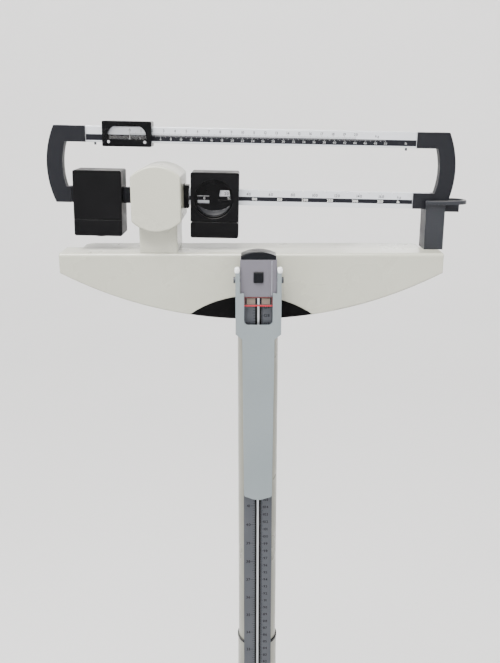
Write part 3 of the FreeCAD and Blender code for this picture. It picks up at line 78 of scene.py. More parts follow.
# %% [markdown]
# ## Floor, backdrop and light
# A studio stands its subject on a roll of pale paper that curves up behind it. A turned
# profile, swept right round, gives that sweep for every viewing direction and leaves
# no horizon line. Large area lights make soft shadows; a small light would draw hard edges.
# Six more lights face outwards and wash the paper, so that the pale scale stands clear of it.

# %% Turn the studio sweep
SWEEP_FLOOR = 6.0
SWEEP_BEND = 2.5
SWEEP_TOP = 7.0
SWEEP_SIDES = 96


def ring_of(mesh, radius, height, sides):
    """One level circle of vertices."""
    turn = 2 * math.pi / sides
    return [
        mesh.verts.new((radius * math.cos(turn * step), radius * math.sin(turn * step), height))
        for step in range(sides)
    ]


def bridge(mesh, lower, upper):
    """Quads between two circles with the same number of vertices."""
    count = len(lower)
    for step in range(count):
        after = (step + 1) % count
        mesh.faces.new((lower[step], lower[after], upper[after], upper[step]))


sweep = bmesh.new()
profile = [(radius, 0.0) for radius in (0.5, 1.0, 2.0, 3.5, SWEEP_FLOOR)]
for step in range(1, 13):
    angle = math.radians(90) * step / 12
    profile.append((SWEEP_FLOOR + SWEEP_BEND * math.sin(angle), SWEEP_BEND * (1 - math.cos(angle))))
profile.append((SWEEP_FLOOR + SWEEP_BEND, SWEEP_TOP))
rings = [ring_of(sweep, radius, height, SWEEP_SIDES) for radius, height in profile]
sweep.faces.new(rings[0])
for lower, upper in zip(rings, rings[1:]):
    bridge(sweep, lower, upper)
bmesh.ops.recalc_face_normals(sweep, faces=sweep.faces)
for face in sweep.faces:
    face.smooth = True
sweep_mesh = bpy.data.meshes.new("studio_sweep")
sweep.to_mesh(sweep_mesh)
sweep.free()
studio = bpy.data.objects.new("studio_sweep", sweep_mesh)
bpy.context.collection.objects.link(studio)
print("sweep faces:", len(sweep_mesh.polygons))

# %% [markdown]
# The lights come next. The ceiling light is the strongest, and stands in front of the head
# and above it, so the casing shades the column.

# %% Hang the lights
HEAD_CENTRE = Vector((0, 0.19, 1.40))


def soft_box(name, place, width, height, power, tint, aim=HEAD_CENTRE):
    """A rectangular light that looks at a point."""
    light = bpy.data.lights.new(name, "AREA")
    light.shape = "RECTANGLE"
    light.size, light.size_y = width, height
    light.energy = power
    light.color = tint
    holder = bpy.data.objects.new(name, light)
    holder.location = place
    holder.rotation_euler = (Vector(aim) - Vector(place)).to_track_quat("-Z", "Y").to_euler()
    bpy.context.collection.objects.link(holder)
    return holder


soft_box("ceiling_light", (-0.5, -0.7, 3.3), 1.8, 1.2, 170, (1.0, 0.985, 0.96))
soft_box("window_light", (-2.6, -1.7, 2.1), 1.6, 2.0, 22, (0.90, 0.95, 1.0))
soft_box("fill_light", (2.4, -2.0, 1.5), 1.8, 1.8, 5, (1.0, 0.97, 0.94))
soft_box("rear_light", (1.2, 2.6, 2.4), 1.8, 1.4, 12, (0.95, 0.97, 1.0))
soft_box("low_fill", (0.4, -2.4, 0.7), 2.0, 1.0, 4, (1.0, 1.0, 1.0), aim=(0, 0.1, 0.5))

WASHERS = 6
WASHER_RADIUS, WASHER_HEIGHT, WASHER_POWER = 4.2, 6.2, 240
WASHED_RADIUS, WASHED_HEIGHT = 8.4, 2.6
PAPER_WHITE = (1.0, 0.995, 0.99)
for number in range(WASHERS):
    turn = 2 * math.pi * (number + 0.5) / WASHERS
    outward = Vector((math.cos(turn), math.sin(turn), 0))
    place = outward * WASHER_RADIUS + Vector((0, 0, WASHER_HEIGHT))
    washed = outward * WASHED_RADIUS + Vector((0, 0, WASHED_HEIGHT))
    soft_box(f"wall_washer_{number}", place, 4.0, 1.2, WASHER_POWER, PAPER_WHITE, aim=washed)

world = bpy.data.worlds.new("studio_air")
bpy.context.scene.world = world
world.use_nodes = True
air = world.node_tree.nodes["Background"]
air.inputs["Color"].default_value = (0.90, 0.895, 0.90, 1)
air.inputs["Strength"].default_value = 0.62

# %% [markdown]
# ## Small tools for shader nodes
# Every finish is a small network of nodes. Two helpers keep the lessons short: one adds a
# node and fills its sockets with numbers or links, and one starts a node group, which is a
# reusable effect with named inputs and outputs, such as orange peel or edge wear.

# %% Helpers for nodes and groups


def add(tree, kind, settings=None, **sockets):
    """Add a node; sockets take a number, a colour or another node's output."""
    made = tree.nodes.new(kind)
    for name, value in (settings or {}).items():
        setattr(made, name, value)
    for name, value in sockets.items():
        if name[1:].isdigit():
            socket = made.inputs[int(name[1:])]
        else:
            socket = made.inputs[name.replace("_", " ")]
        if isinstance(value, bpy.types.NodeSocket):
            tree.links.new(value, socket)
        else:
            socket.default_value = value
    return made


def maths(tree, operation, first, second=0.0):
    """One sum on one or two values."""
    return add(tree, "ShaderNodeMath", {"operation": operation}, i0=first, i1=second).outputs[0]


def spread(tree, value, low, high, to_low=0.0, to_high=1.0):
    """Stretch a value's range from low..high to to_low..to_high."""
    ends = {"From_Min": low, "From_Max": high, "To_Min": to_low, "To_Max": to_high}
    return add(tree, "ShaderNodeMapRange", Value=value, **ends).outputs[0]


def blend_colours(tree, amount, first, second):
    mixer = add(tree, "ShaderNodeMix", {"data_type": "RGBA"}, Factor=amount)
    for socket, value in ((mixer.inputs[6], first), (mixer.inputs[7], second)):
        if isinstance(value, bpy.types.NodeSocket):
            tree.links.new(value, socket)
        else:
            socket.default_value = value
    return mixer.outputs[2]


KINDS = {"number": "NodeSocketFloat", "colour": "NodeSocketColor", "direction": "NodeSocketVector"}


def start_effect(name, takes, gives):
    """A node group with named sockets; takes and gives list (socket name, kind, start value)."""
    tree = bpy.data.node_groups.new(name, "ShaderNodeTree")
    for word, kind, start in takes:
        socket = tree.interface.new_socket(word, in_out="INPUT", socket_type=KINDS[kind])
        socket.default_value = start
    for word, kind in gives:
        tree.interface.new_socket(word, in_out="OUTPUT", socket_type=KINDS[kind])
    return tree, tree.nodes.new("NodeGroupInput").outputs, tree.nodes.new("NodeGroupOutput").inputs


def surface_point(tree):
    """Where on the object this point is, which stays with the piece when it moves."""
    return tree.nodes.new("ShaderNodeTexCoord").outputs["Object"]


print("node helpers ready")

# %% [markdown]
# ## Effect: mottled colour
# Enamel, plastic and rubber are never one flat colour. Slow changes of shade come from
# uneven thickness, and fine ones from pigment. Two noise textures of different size, mixed
# between two colours, give both, and the amount is set for each material.

# %% Build the mottled colour effect
mottled, given, result = start_effect(
    "Mottled Colour",
    [
        ("Colour", "colour", (0.8, 0.8, 0.8, 1)),
        ("Shade", "colour", (0.6, 0.6, 0.6, 1)),
        ("Patch Scale", "number", 9.0),
        ("Fleck Scale", "number", 900.0),
        ("Amount", "number", 0.5),
    ],
    [("Colour", "colour")],
)
point = surface_point(mottled)
patches = add(mottled, "ShaderNodeTexNoise", Vector=point, Scale=given["Patch Scale"], Detail=4.0)
flecks = add(mottled, "ShaderNodeTexNoise", Vector=point, Scale=given["Fleck Scale"], Detail=2.0)
slow = spread(mottled, patches.outputs[0], 0.32, 0.68)
fine = spread(mottled, flecks.outputs[0], 0.30, 0.70)
both = maths(
    mottled, "ADD", maths(mottled, "MULTIPLY", slow, 0.7), maths(mottled, "MULTIPLY", fine, 0.3)
)
share = maths(mottled, "MULTIPLY", both, given["Amount"])
mottled.links.new(blend_colours(mottled, share, given["Colour"], given["Shade"]), result["Colour"])
print("made", mottled.name)

# %% [markdown]
# ## Effect: orange peel
# Sprayed and baked enamel keeps a very shallow waviness, which shows as wobbly reflections.
# Smooth noise about two millimetres across, with a trace of a finer one, is close to it.

# %% Build the orange peel effect
peel, given, result = start_effect("Orange Peel", [("Scale", "number", 420.0)], [("Height", "number")])
point = surface_point(peel)
wide = add(peel, "ShaderNodeTexNoise", Vector=point, Scale=given["Scale"], Detail=1.0)
finer = maths(peel, "MULTIPLY", given["Scale"], 3.1)
tight = add(peel, "ShaderNodeTexNoise", Vector=point, Scale=finer, Detail=1.0)
peel.links.new(
    maths(peel, "ADD", wide.outputs[0], maths(peel, "MULTIPLY", tight.outputs[0], 0.25)), result["Height"]
)
print("made", peel.name)

# %% [markdown]
# ## Effect: edge wear
# Paint rubs thin where hands and cleaning cloths pass over corners. The Bevel node gives the
# normal of a rounded copy of the surface; where that differs from the true normal there is
# an edge. Noise breaks the edge up so that it doesn't look like an outline.

# %% Build the edge wear effect
wear, given, result = start_effect(
    "Edge Wear",
    [("Radius", "number", 0.0008), ("Amount", "number", 0.5), ("Break Up", "number", 240.0)],
    [("Mask", "number")],
)
rounded = add(wear, "ShaderNodeBevel", {"samples": 4}, Radius=given["Radius"])
true_normal = wear.nodes.new("ShaderNodeNewGeometry").outputs["Normal"]
agreement = add(
    wear, "ShaderNodeVectorMath", {"operation": "DOT_PRODUCT"}, i0=rounded.outputs[0], i1=true_normal
)
edge = spread(wear, agreement.outputs["Value"], 0.995, 0.88)
patchy = add(
    wear, "ShaderNodeTexNoise", Vector=surface_point(wear), Scale=given["Break Up"], Detail=3.0
)
broken = maths(wear, "MULTIPLY", edge, spread(wear, patchy.outputs[0], 0.42, 0.62))
wear.links.new(maths(wear, "MULTIPLY", broken, given["Amount"]), result["Mask"])
print("made", wear.name)

# %% [markdown]
# ## Effect: soft edges
# No moulded or stamped edge is perfectly sharp. Rounding the shading normal by a fraction of
# a millimetre lets every edge catch a thin line of light, without adding geometry.

# %% Build the soft edge effect
soft_edge, given, result = start_effect(
    "Soft Edges", [("Radius", "number", 0.0005)], [("Normal", "direction")]
)
rounded = add(soft_edge, "ShaderNodeBevel", {"samples": 4}, Radius=given["Radius"])
soft_edge.links.new(rounded.outputs[0], result["Normal"])
print("made", soft_edge.name)

# %% [markdown]
# ## Effect: settled dust
# Dust lies on faces that look up. The upward part of the normal is the mask, and noise makes
# it thicker in some places, as after a quick wipe.

# %% Build the settled dust effect
dust, given, result = start_effect("Settled Dust", [("Amount", "number", 0.3)], [("Mask", "number")])
facing = add(
    dust, "ShaderNodeSeparateXYZ", i0=dust.nodes.new("ShaderNodeNewGeometry").outputs["Normal"]
)
upward = spread(dust, facing.outputs["Z"], 0.55, 0.98)
wiped = add(dust, "ShaderNodeTexNoise", Vector=surface_point(dust), Scale=34.0, Detail=6.0)
lying = maths(dust, "MULTIPLY", upward, spread(dust, wiped.outputs[0], 0.38, 0.66))
dust.links.new(maths(dust, "MULTIPLY", lying, given["Amount"]), result["Mask"])
print("made", dust.name)

# %% [markdown]
# ## Effect: drawn lines
# Rolled, drawn or ground metal has long fine lines in one direction. Noise that is squeezed
# across the lines and stretched along them looks the same. The Stretch input sets how many
# lines there are to the metre along each axis, so one group serves bars, rods and screws.

# %% Build the drawn lines effect
lines, given, result = start_effect(
    "Drawn Lines", [("Stretch", "direction", (4.0, 900.0, 900.0))], [("Value", "number")]
)
squeezed = add(
    lines, "ShaderNodeVectorMath", {"operation": "MULTIPLY"}, i0=surface_point(lines),
    i1=given["Stretch"],
)
streaks = add(
    lines, "ShaderNodeTexNoise", Vector=squeezed.outputs[0], Scale=1.0, Detail=5.0, Roughness=0.62
)
lines.links.new(spread(lines, streaks.outputs[0], 0.3, 0.7), result["Value"])
print("made", lines.name)

# %% [markdown]
# ## Effect: moulded grain
# Black and grey mouldings come out of a spark-eroded tool with a fine leather-like grain. A
# cell texture gives the small bumps, and noise bends the cells so that they don't line up.

# %% Build the moulded grain effect
grain, given, result = start_effect(
    "Moulded Grain", [("Scale", "number", 1500.0)], [("Height", "number")]
)
point = surface_point(grain)
bend = add(grain, "ShaderNodeTexNoise", Vector=point, Scale=260.0, Detail=2.0)
shifted = add(
    grain, "ShaderNodeVectorMath", {"operation": "MULTIPLY_ADD"}, i0=bend.outputs["Color"],
    i1=(0.0012, 0.0012, 0.0012), i2=point,
)
cells = add(grain, "ShaderNodeTexVoronoi", Vector=shifted.outputs[0], Scale=given["Scale"])
grain.links.new(spread(grain, cells.outputs["Distance"], 0.1, 0.8), result["Height"])
print("made", grain.name)

# %% [markdown]
# ## Effect: hand marks
# Parts that are handled have duller and shinier patches. The group gives a roughness that
# drifts between two values, which a material plugs straight into its roughness.

# %% Build the hand marks effect
marks, given, result = start_effect(
    "Hand Marks",
    [("Scale", "number", 30.0), ("Shiny", "number", 0.3), ("Dull", "number", 0.45)],
    [("Roughness", "number")],
)
smear = add(
    marks, "ShaderNodeTexNoise", Vector=surface_point(marks), Scale=given["Scale"], Detail=5.0,
    Distortion=0.8,
)
drift = spread(marks, smear.outputs[0], 0.35, 0.68)
reach = maths(marks, "SUBTRACT", given["Dull"], given["Shiny"])
marks.links.new(
    maths(marks, "ADD", given["Shiny"], maths(marks, "MULTIPLY", drift, reach)), result["Roughness"]
)
print("made", marks.name)

# %% [markdown]
# ## Effect: stripe
# Some marks belong to one place on the model: the dark joint where the two halves of the
# casing meet, and the painted shade inside the rod's groove. The group measures a position
# across the model and gives a mask that is one inside a stripe, with a slightly soft border.

# %% Build the stripe effect
stripe, given, result = start_effect(
    "Stripe",
    [
        ("Across", "direction", (1.0, 0.0, 0.0)),
        ("Middle", "number", 0.0),
        ("Half Width", "number", 0.001),
    ],
    [("Mask", "number")],
)
across = add(
    stripe, "ShaderNodeVectorMath", {"operation": "DOT_PRODUCT"}, i0=surface_point(stripe),
    i1=given["Across"],
)
off_middle = maths(
    stripe, "ABSOLUTE", maths(stripe, "SUBTRACT", across.outputs["Value"], given["Middle"])
)
border = maths(stripe, "ADD", given["Half Width"], 0.00012)
stripe.links.new(spread(stripe, off_middle, given["Half Width"], border, 1.0, 0.0), result["Mask"])
print("made", stripe.name)

# %% [markdown]
# ## Putting effects into a material
# A finish is a Principled shader with effects plugged into it. This helper starts a material
# and returns its tree and shader; a second one places an effect with its own values.

# %% Helpers for materials


def start_finish(name):
    material = bpy.data.materials.new(name)
    material.use_nodes = True
    return material, material.node_tree, material.node_tree.nodes["Principled BSDF"]


def place_effect(tree, group, **values):
    made = tree.nodes.new("ShaderNodeGroup")
    made.node_tree = group
    for word, value in values.items():
        socket = made.inputs[word.replace("_", " ")]
        if isinstance(value, bpy.types.NodeSocket):
            tree.links.new(value, socket)
        else:
            socket.default_value = value
    return made.outputs


def relief(tree, shader, height, depth, edge_radius):
    """Bump from a height, on top of softened edges."""
    softened = place_effect(tree, soft_edge, Radius=edge_radius)["Normal"]
    bump = add(tree, "ShaderNodeBump", Height=height, Distance=depth, Normal=softened)
    tree.links.new(bump.outputs[0], shader.inputs["Normal"])


def tone(red, green, blue):
    """An opaque colour."""
    return (red, green, blue, 1.0)


def paint_stripe(material, across, middle, half_width, colour, outside=False):
    """Cover one stripe of a finished material, or all but the stripe, with another colour."""
    tree = material.node_tree
    socket = tree.nodes["Principled BSDF"].inputs["Base Color"]
    mask = place_effect(tree, stripe, Across=across, Middle=middle, Half_Width=half_width)["Mask"]
    if outside:
        mask = maths(tree, "SUBTRACT", 1.0, mask)
    tree.links.new(blend_colours(tree, mask, socket.links[0].from_socket, colour), socket)


DUST_COLOUR = tone(0.50, 0.48, 0.44)
print("material helpers ready")

# %% [markdown]
# ## Enamel
# The casing, the tower and the column are sheet and cast metal under baked cream enamel. It
# is glossy with a slight orange peel, a little dust on top, and thin grey edges where it is
# rubbed. One recipe serves all the enamels, with a colour and a gloss for each.

# %% Mix the enamels
RUBBED_ENAMEL = tone(0.42, 0.42, 0.40)


def enamel(name, colour, shade, shiny, dull, wear_amount):
    material, tree, shader = start_finish(name)
    paint = place_effect(tree, mottled, Colour=colour, Shade=shade, Patch_Scale=7.0, Amount=0.5)
    edges = place_effect(tree, wear, Radius=0.0009, Amount=wear_amount)["Mask"]
    dusty = place_effect(tree, dust, Amount=0.22)["Mask"]
    worn = blend_colours(tree, edges, paint["Colour"], RUBBED_ENAMEL)
    tree.links.new(blend_colours(tree, dusty, worn, DUST_COLOUR), shader.inputs["Base Color"])
    gloss = place_effect(tree, marks, Scale=18.0, Shiny=shiny, Dull=dull)["Roughness"]
    tree.links.new(
        maths(tree, "ADD", gloss, maths(tree, "MULTIPLY", dusty, 0.5)), shader.inputs["Roughness"]
    )
    shader.inputs["Coat Weight"].default_value = 0.35
    shader.inputs["Coat Roughness"].default_value = 0.18
    relief(tree, shader, place_effect(tree, peel, Scale=420.0)["Height"], 0.00006, 0.0014)
    return material


cream = enamel(
    "casing_enamel", tone(0.385, 0.388, 0.325), tone(0.335, 0.333, 0.272), shiny=0.24, dull=0.36,
    wear_amount=0.35,
)
tower_cream = enamel(
    "tower_enamel", tone(0.40, 0.40, 0.336), tone(0.345, 0.342, 0.28), shiny=0.26, dull=0.38,
    wear_amount=0.30,
)
# The column's enamel is mixed much darker than the casing's: painted shade, standing in for the casing's
# shadow on the column.
column_painted_shade_enamel = enamel(
    "column_enamel", tone(0.175, 0.176, 0.143), tone(0.145, 0.145, 0.115), shiny=0.26, dull=0.40,
    wear_amount=0.25,
)
base_cream = enamel(
    "base_enamel", tone(0.38, 0.378, 0.315), tone(0.32, 0.314, 0.26), shiny=0.30, dull=0.46,
    wear_amount=0.45,
)
casing_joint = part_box("head_front_shell")[1].y
paint_stripe(cream, (0, 1, 0), casing_joint, 0.0004, tone(0.05, 0.05, 0.045))
print("enamels mixed")

# %% [markdown]
# ## Black paint and black mouldings
# The poises are cast weights under satin black paint, with lighter worn edges. The beam's
# ends, the catch and the cap are black mouldings, so they have grain and no paint edge.

# %% Mix the blacks


def black_paint(name, colour, shade, shiny, dull):
    material, tree, shader = start_finish(name)
    paint = place_effect(tree, mottled, Colour=colour, Shade=shade, Patch_Scale=26.0, Amount=0.8)
    edges = place_effect(tree, wear, Radius=0.0008, Amount=0.55, Break_Up=420.0)["Mask"]
    dusty = place_effect(tree, dust, Amount=0.16)["Mask"]
    worn = blend_colours(tree, edges, paint["Colour"], tone(0.045, 0.045, 0.048))
    tree.links.new(blend_colours(tree, dusty, worn, DUST_COLOUR), shader.inputs["Base Color"])
    gloss = place_effect(tree, marks, Scale=60.0, Shiny=shiny, Dull=dull)["Roughness"]
    tree.links.new(gloss, shader.inputs["Roughness"])
    shader.inputs["Specular IOR Level"].default_value = 0.09
    relief(tree, shader, place_effect(tree, peel, Scale=700.0)["Height"], 0.00007, 0.0007)
    return material


def moulding(name, colour, shade, shiny, dull, grain_scale=1500.0, grain_depth=0.00005, sheen=0.5):
    material, tree, shader = start_finish(name)
    plastic = place_effect(tree, mottled, Colour=colour, Shade=shade, Patch_Scale=16.0, Amount=0.6)
    edges = place_effect(tree, wear, Radius=0.0005, Amount=0.25, Break_Up=500.0)["Mask"]
    dusty = place_effect(tree, dust, Amount=0.14)["Mask"]
    polished = blend_colours(tree, edges, plastic["Colour"], tone(0.35, 0.35, 0.36))
    tree.links.new(blend_colours(tree, dusty, polished, DUST_COLOUR), shader.inputs["Base Color"])
    gloss = place_effect(tree, marks, Scale=45.0, Shiny=shiny, Dull=dull)["Roughness"]
    tree.links.new(gloss, shader.inputs["Roughness"])
    shader.inputs["Specular IOR Level"].default_value = sheen
    relief(tree, shader, place_effect(tree, grain, Scale=grain_scale)["Height"], grain_depth, 0.0005)
    return material


poise_black = black_paint(
    "poise_paint", tone(0.0018, 0.0018, 0.0023), tone(0.0036, 0.0036, 0.0042), shiny=0.34, dull=0.50
)
dial_black = black_paint(
    "dial_paint", tone(0.0012, 0.0013, 0.0017), tone(0.0026, 0.0028, 0.0034), shiny=0.18, dull=0.28
)
yoke_black = moulding(
    "yoke_plastic", tone(0.0045, 0.005, 0.0075), tone(0.0075, 0.0082, 0.011), shiny=0.40, dull=0.55,
    sheen=0.18,
)
catch_grey = moulding(
    "catch_plastic", tone(0.0125, 0.0138, 0.018), tone(0.019, 0.0205, 0.0255), shiny=0.38, dull=0.52,
    sheen=0.28,
)
cap_black = moulding(
    "cap_plastic", tone(0.0026, 0.003, 0.0046), tone(0.005, 0.0056, 0.0078), shiny=0.28, dull=0.42,
    sheen=0.12,
)
recess_black = moulding(
    "recess_plastic", tone(0.0012, 0.0012, 0.0014), tone(0.0024, 0.0024, 0.0026), shiny=0.5,
    dull=0.65, sheen=0.06,
)
print("blacks mixed")

# %% [markdown]
# ## Grey, white and red mouldings
# The slider is a lilac grey moulding whose ridge is mixed lighter as a painted highlight,
# the tongue is bluish white with whiter knobs, and the reading frame is dark red. They use
# the same recipe as the black mouldings, with a finer grain.

# %% Mix the light mouldings
slider_grey = moulding(
    "slider_plastic", tone(0.105, 0.10, 0.122), tone(0.086, 0.082, 0.10), shiny=0.34, dull=0.48,
    grain_scale=1900.0, grain_depth=0.00003,
)
tongue_white = moulding(
    "tongue_plastic", tone(0.165, 0.195, 0.208), tone(0.14, 0.166, 0.178), shiny=0.32, dull=0.46,
    grain_scale=1900.0, grain_depth=0.00002,
)
# The ridge's lighter grey is a painted highlight: the light caught along the ridge's edge.
ridge_painted_highlight_grey = moulding(
    "ridge_plastic_painted_highlight", tone(0.24, 0.24, 0.28), tone(0.20, 0.20, 0.235), shiny=0.28, dull=0.40,
    grain_scale=1900.0, grain_depth=0.00003,
)
knob_white = moulding(
    "knob_plastic", tone(0.72, 0.74, 0.75), tone(0.64, 0.66, 0.67), shiny=0.24, dull=0.36,
    grain_scale=1900.0, grain_depth=0.00002,
)
frame_red = moulding(
    "frame_plastic", tone(0.085, 0.007, 0.009), tone(0.055, 0.005, 0.006), shiny=0.28, dull=0.42,
    grain_scale=1900.0, grain_depth=0.00002,
)
print("light mouldings mixed")

# %% [markdown]
# ## Bare metals
# The bars and the rod are anodised aluminium with lines along their length. Knives, screws
# and axles are bright steel, and the levers are rough castings. A metal has Metallic at one,
# and the drawn lines change both its roughness and its relief.

# %% Mix the metals
STREAK_DEPTH = 0.00002
METAL_EDGE = 0.0004


def drawn_metal(name, colour, shade, stretch, smooth, rough, metallic=1.0):
    material, tree, shader = start_finish(name)
    streak = place_effect(tree, lines, Stretch=stretch)["Value"]
    body = place_effect(tree, mottled, Colour=colour, Shade=shade, Patch_Scale=22.0, Amount=0.6)
    streaked = blend_colours(tree, maths(tree, "MULTIPLY", streak, 0.35), body["Colour"], shade)
    tree.links.new(streaked, shader.inputs["Base Color"])
    tree.links.new(spread(tree, streak, 0.0, 1.0, smooth, rough), shader.inputs["Roughness"])
    shader.inputs["Metallic"].default_value = metallic
    relief(tree, shader, streak, STREAK_DEPTH, METAL_EDGE)
    return material


bar_metal = drawn_metal(
    "bar_anodised", tone(0.66, 0.68, 0.72), tone(0.55, 0.57, 0.61), stretch=(6, 2600, 2600),
    smooth=0.34, rough=0.48, metallic=0.55,
)
rod_metal = drawn_metal(
    "rod_anodised", tone(0.062, 0.067, 0.078), tone(0.046, 0.050, 0.059), stretch=(2600, 2600, 6),
    smooth=0.36, rough=0.50, metallic=0.5,
)
inner_rod_painted_shade_metal = drawn_metal(
    "inner_rod_anodised_painted_shade", tone(0.50, 0.52, 0.55), tone(0.40, 0.42, 0.45), stretch=(2600, 2600, 6),
    smooth=0.30, rough=0.44, metallic=0.6,
)
strip_light = drawn_metal(
    "middle_strip_anodised", tone(0.50, 0.51, 0.53), tone(0.42, 0.43, 0.45), stretch=(2600, 2600, 6),
    smooth=0.3, rough=0.44,
)
bright_steel = drawn_metal(
    "bright_steel", tone(0.62, 0.62, 0.63), tone(0.48, 0.48, 0.49), stretch=(900, 900, 900),
    smooth=0.20, rough=0.34,
)
# Painted shade: the outer rod's groove is painted near black, and the inner rod is painted near black
# outside a narrow middle strip, standing in for the shadow inside the groove.
paint_stripe(rod_metal, (1, 0, 0), 0.0, 0.0036, tone(0.004, 0.004, 0.005))
paint_stripe(inner_rod_painted_shade_metal, (1, 0, 0), 0.0, 0.00125, tone(0.002, 0.002, 0.0025), outside=True)
knife_steel = drawn_metal(
    "ground_steel", tone(0.52, 0.52, 0.53), tone(0.40, 0.40, 0.41), stretch=(3000, 40, 40),
    smooth=0.18, rough=0.30,
)


def casting(name, colour, shade, rough, depth):
    material, tree, shader = start_finish(name)
    body = place_effect(
        tree, mottled, Colour=colour, Shade=shade, Patch_Scale=30.0, Fleck_Scale=500.0, Amount=0.9
    )
    edges = place_effect(tree, wear, Radius=0.0012, Amount=0.7, Break_Up=160.0)["Mask"]
    tree.links.new(
        blend_colours(tree, edges, body["Colour"], tone(0.34, 0.33, 0.32)),
        shader.inputs["Base Color"],
    )
    tree.links.new(
        place_effect(tree, marks, Scale=50.0, Shiny=rough - 0.12, Dull=rough)["Roughness"],
        shader.inputs["Roughness"],
    )
    shader.inputs["Metallic"].default_value = 0.35
    relief(tree, shader, place_effect(tree, peel, Scale=300.0)["Height"], depth, 0.0012)
    return material


base_casting = casting(
    "base_casting", tone(0.060, 0.064, 0.068), tone(0.095, 0.098, 0.10), rough=0.62, depth=0.0004
)
lever_casting = casting(
    "lever_casting", tone(0.12, 0.115, 0.11), tone(0.17, 0.12, 0.085), rough=0.70, depth=0.0005
)
print("metals mixed")

# %% [markdown]
# ## Rubber, clear plastic and inks
# Rubber is dark, dull and slightly speckled with chalky bloom. The index on the small poise
# is clear acrylic. The inks of the printed scales are matt and a little uneven. The studio's
# paper is mixed here too, since it needs nothing but a slight change of shade.

# %% Mix rubber, acrylic and inks


def rubber(name, colour, shade, dust_amount):
    material, tree, shader = start_finish(name)
    body = place_effect(
        tree, mottled, Colour=colour, Shade=shade, Patch_Scale=14.0, Fleck_Scale=1400.0, Amount=0.8
    )
    dusty = place_effect(tree, dust, Amount=dust_amount)["Mask"]
    tree.links.new(blend_colours(tree, dusty, body["Colour"], DUST_COLOUR), shader.inputs["Base Color"])
    tree.links.new(
        place_effect(tree, marks, Scale=24.0, Shiny=0.62, Dull=0.85)["Roughness"],
        shader.inputs["Roughness"],
    )
    relief(tree, shader, place_effect(tree, grain, Scale=1100.0)["Height"], 0.0001, 0.0006)
    return material


mat_rubber = rubber(
    "mat_rubber", tone(0.022, 0.023, 0.025), tone(0.036, 0.036, 0.038), dust_amount=0.07
)
wheel_rubber = rubber(
    "foot_rubber", tone(0.020, 0.020, 0.021), tone(0.035, 0.035, 0.036), dust_amount=0.15
)

clear, tree, shader = start_finish("index_acrylic")
tinted = place_effect(
    tree, mottled, Colour=tone(0.97, 0.98, 0.98), Shade=tone(0.93, 0.95, 0.95), Amount=0.5
)
tree.links.new(tinted["Colour"], shader.inputs["Base Color"])
tree.links.new(
    place_effect(tree, marks, Scale=90.0, Shiny=0.02, Dull=0.07)["Roughness"],
    shader.inputs["Roughness"],
)
shader.inputs["Transmission Weight"].default_value = 1.0
shader.inputs["IOR"].default_value = 1.49


def ink(name, colour, shade, metallic=0.0):
    material, tree, shader = start_finish(name)
    printed = place_effect(
        tree, mottled, Colour=colour, Shade=shade, Patch_Scale=120.0, Fleck_Scale=2600.0, Amount=0.9
    )
    tree.links.new(printed["Colour"], shader.inputs["Base Color"])
    tree.links.new(
        place_effect(tree, marks, Scale=200.0, Shiny=0.42, Dull=0.6)["Roughness"],
        shader.inputs["Roughness"],
    )
    shader.inputs["Metallic"].default_value = metallic
    shader.inputs["Specular IOR Level"].default_value = 0.15
    return material


band_black = ink("scale_band_ink", tone(0.0035, 0.004, 0.007), tone(0.008, 0.0085, 0.012))
grey_ink = ink("grey_scale_ink", tone(0.045, 0.047, 0.055), tone(0.10, 0.102, 0.11))
dark_ink = ink("dark_scale_ink", tone(0.004, 0.004, 0.006), tone(0.012, 0.012, 0.016))
white_ink = ink("white_scale_ink", tone(0.74, 0.75, 0.74), tone(0.55, 0.56, 0.56))
pound_ink = ink("pound_scale_ink", tone(0.34, 0.345, 0.35), tone(0.22, 0.225, 0.23))
red_ink = ink("red_index_ink", tone(0.55, 0.035, 0.05), tone(0.42, 0.025, 0.04))
beige_pane = ink("beige_pane_ink", tone(0.15, 0.118, 0.098), tone(0.115, 0.092, 0.078))

paper, tree, shader = start_finish("studio_paper")
pulp = place_effect(
    tree, mottled, Colour=tone(0.86, 0.855, 0.85), Shade=tone(0.80, 0.795, 0.79), Patch_Scale=0.6,
    Fleck_Scale=60.0,
)
tree.links.new(pulp["Colour"], shader.inputs["Base Color"])
shader.inputs["Roughness"].default_value = 0.9
shader.inputs["Specular IOR Level"].default_value = 0.2
relief(tree, shader, place_effect(tree, peel, Scale=300.0)["Height"], 0.00005, 0.0001)
sweep_mesh.materials.append(paper)
print("soft materials mixed")

# %% [markdown]
# ## Giving the CAD parts their finishes
# The CAD parts keep their shapes. Each one's material slots are pointed at a finish, the way
# a painter would sort parts into trays: all the cream parts, all the black ones, and so on.

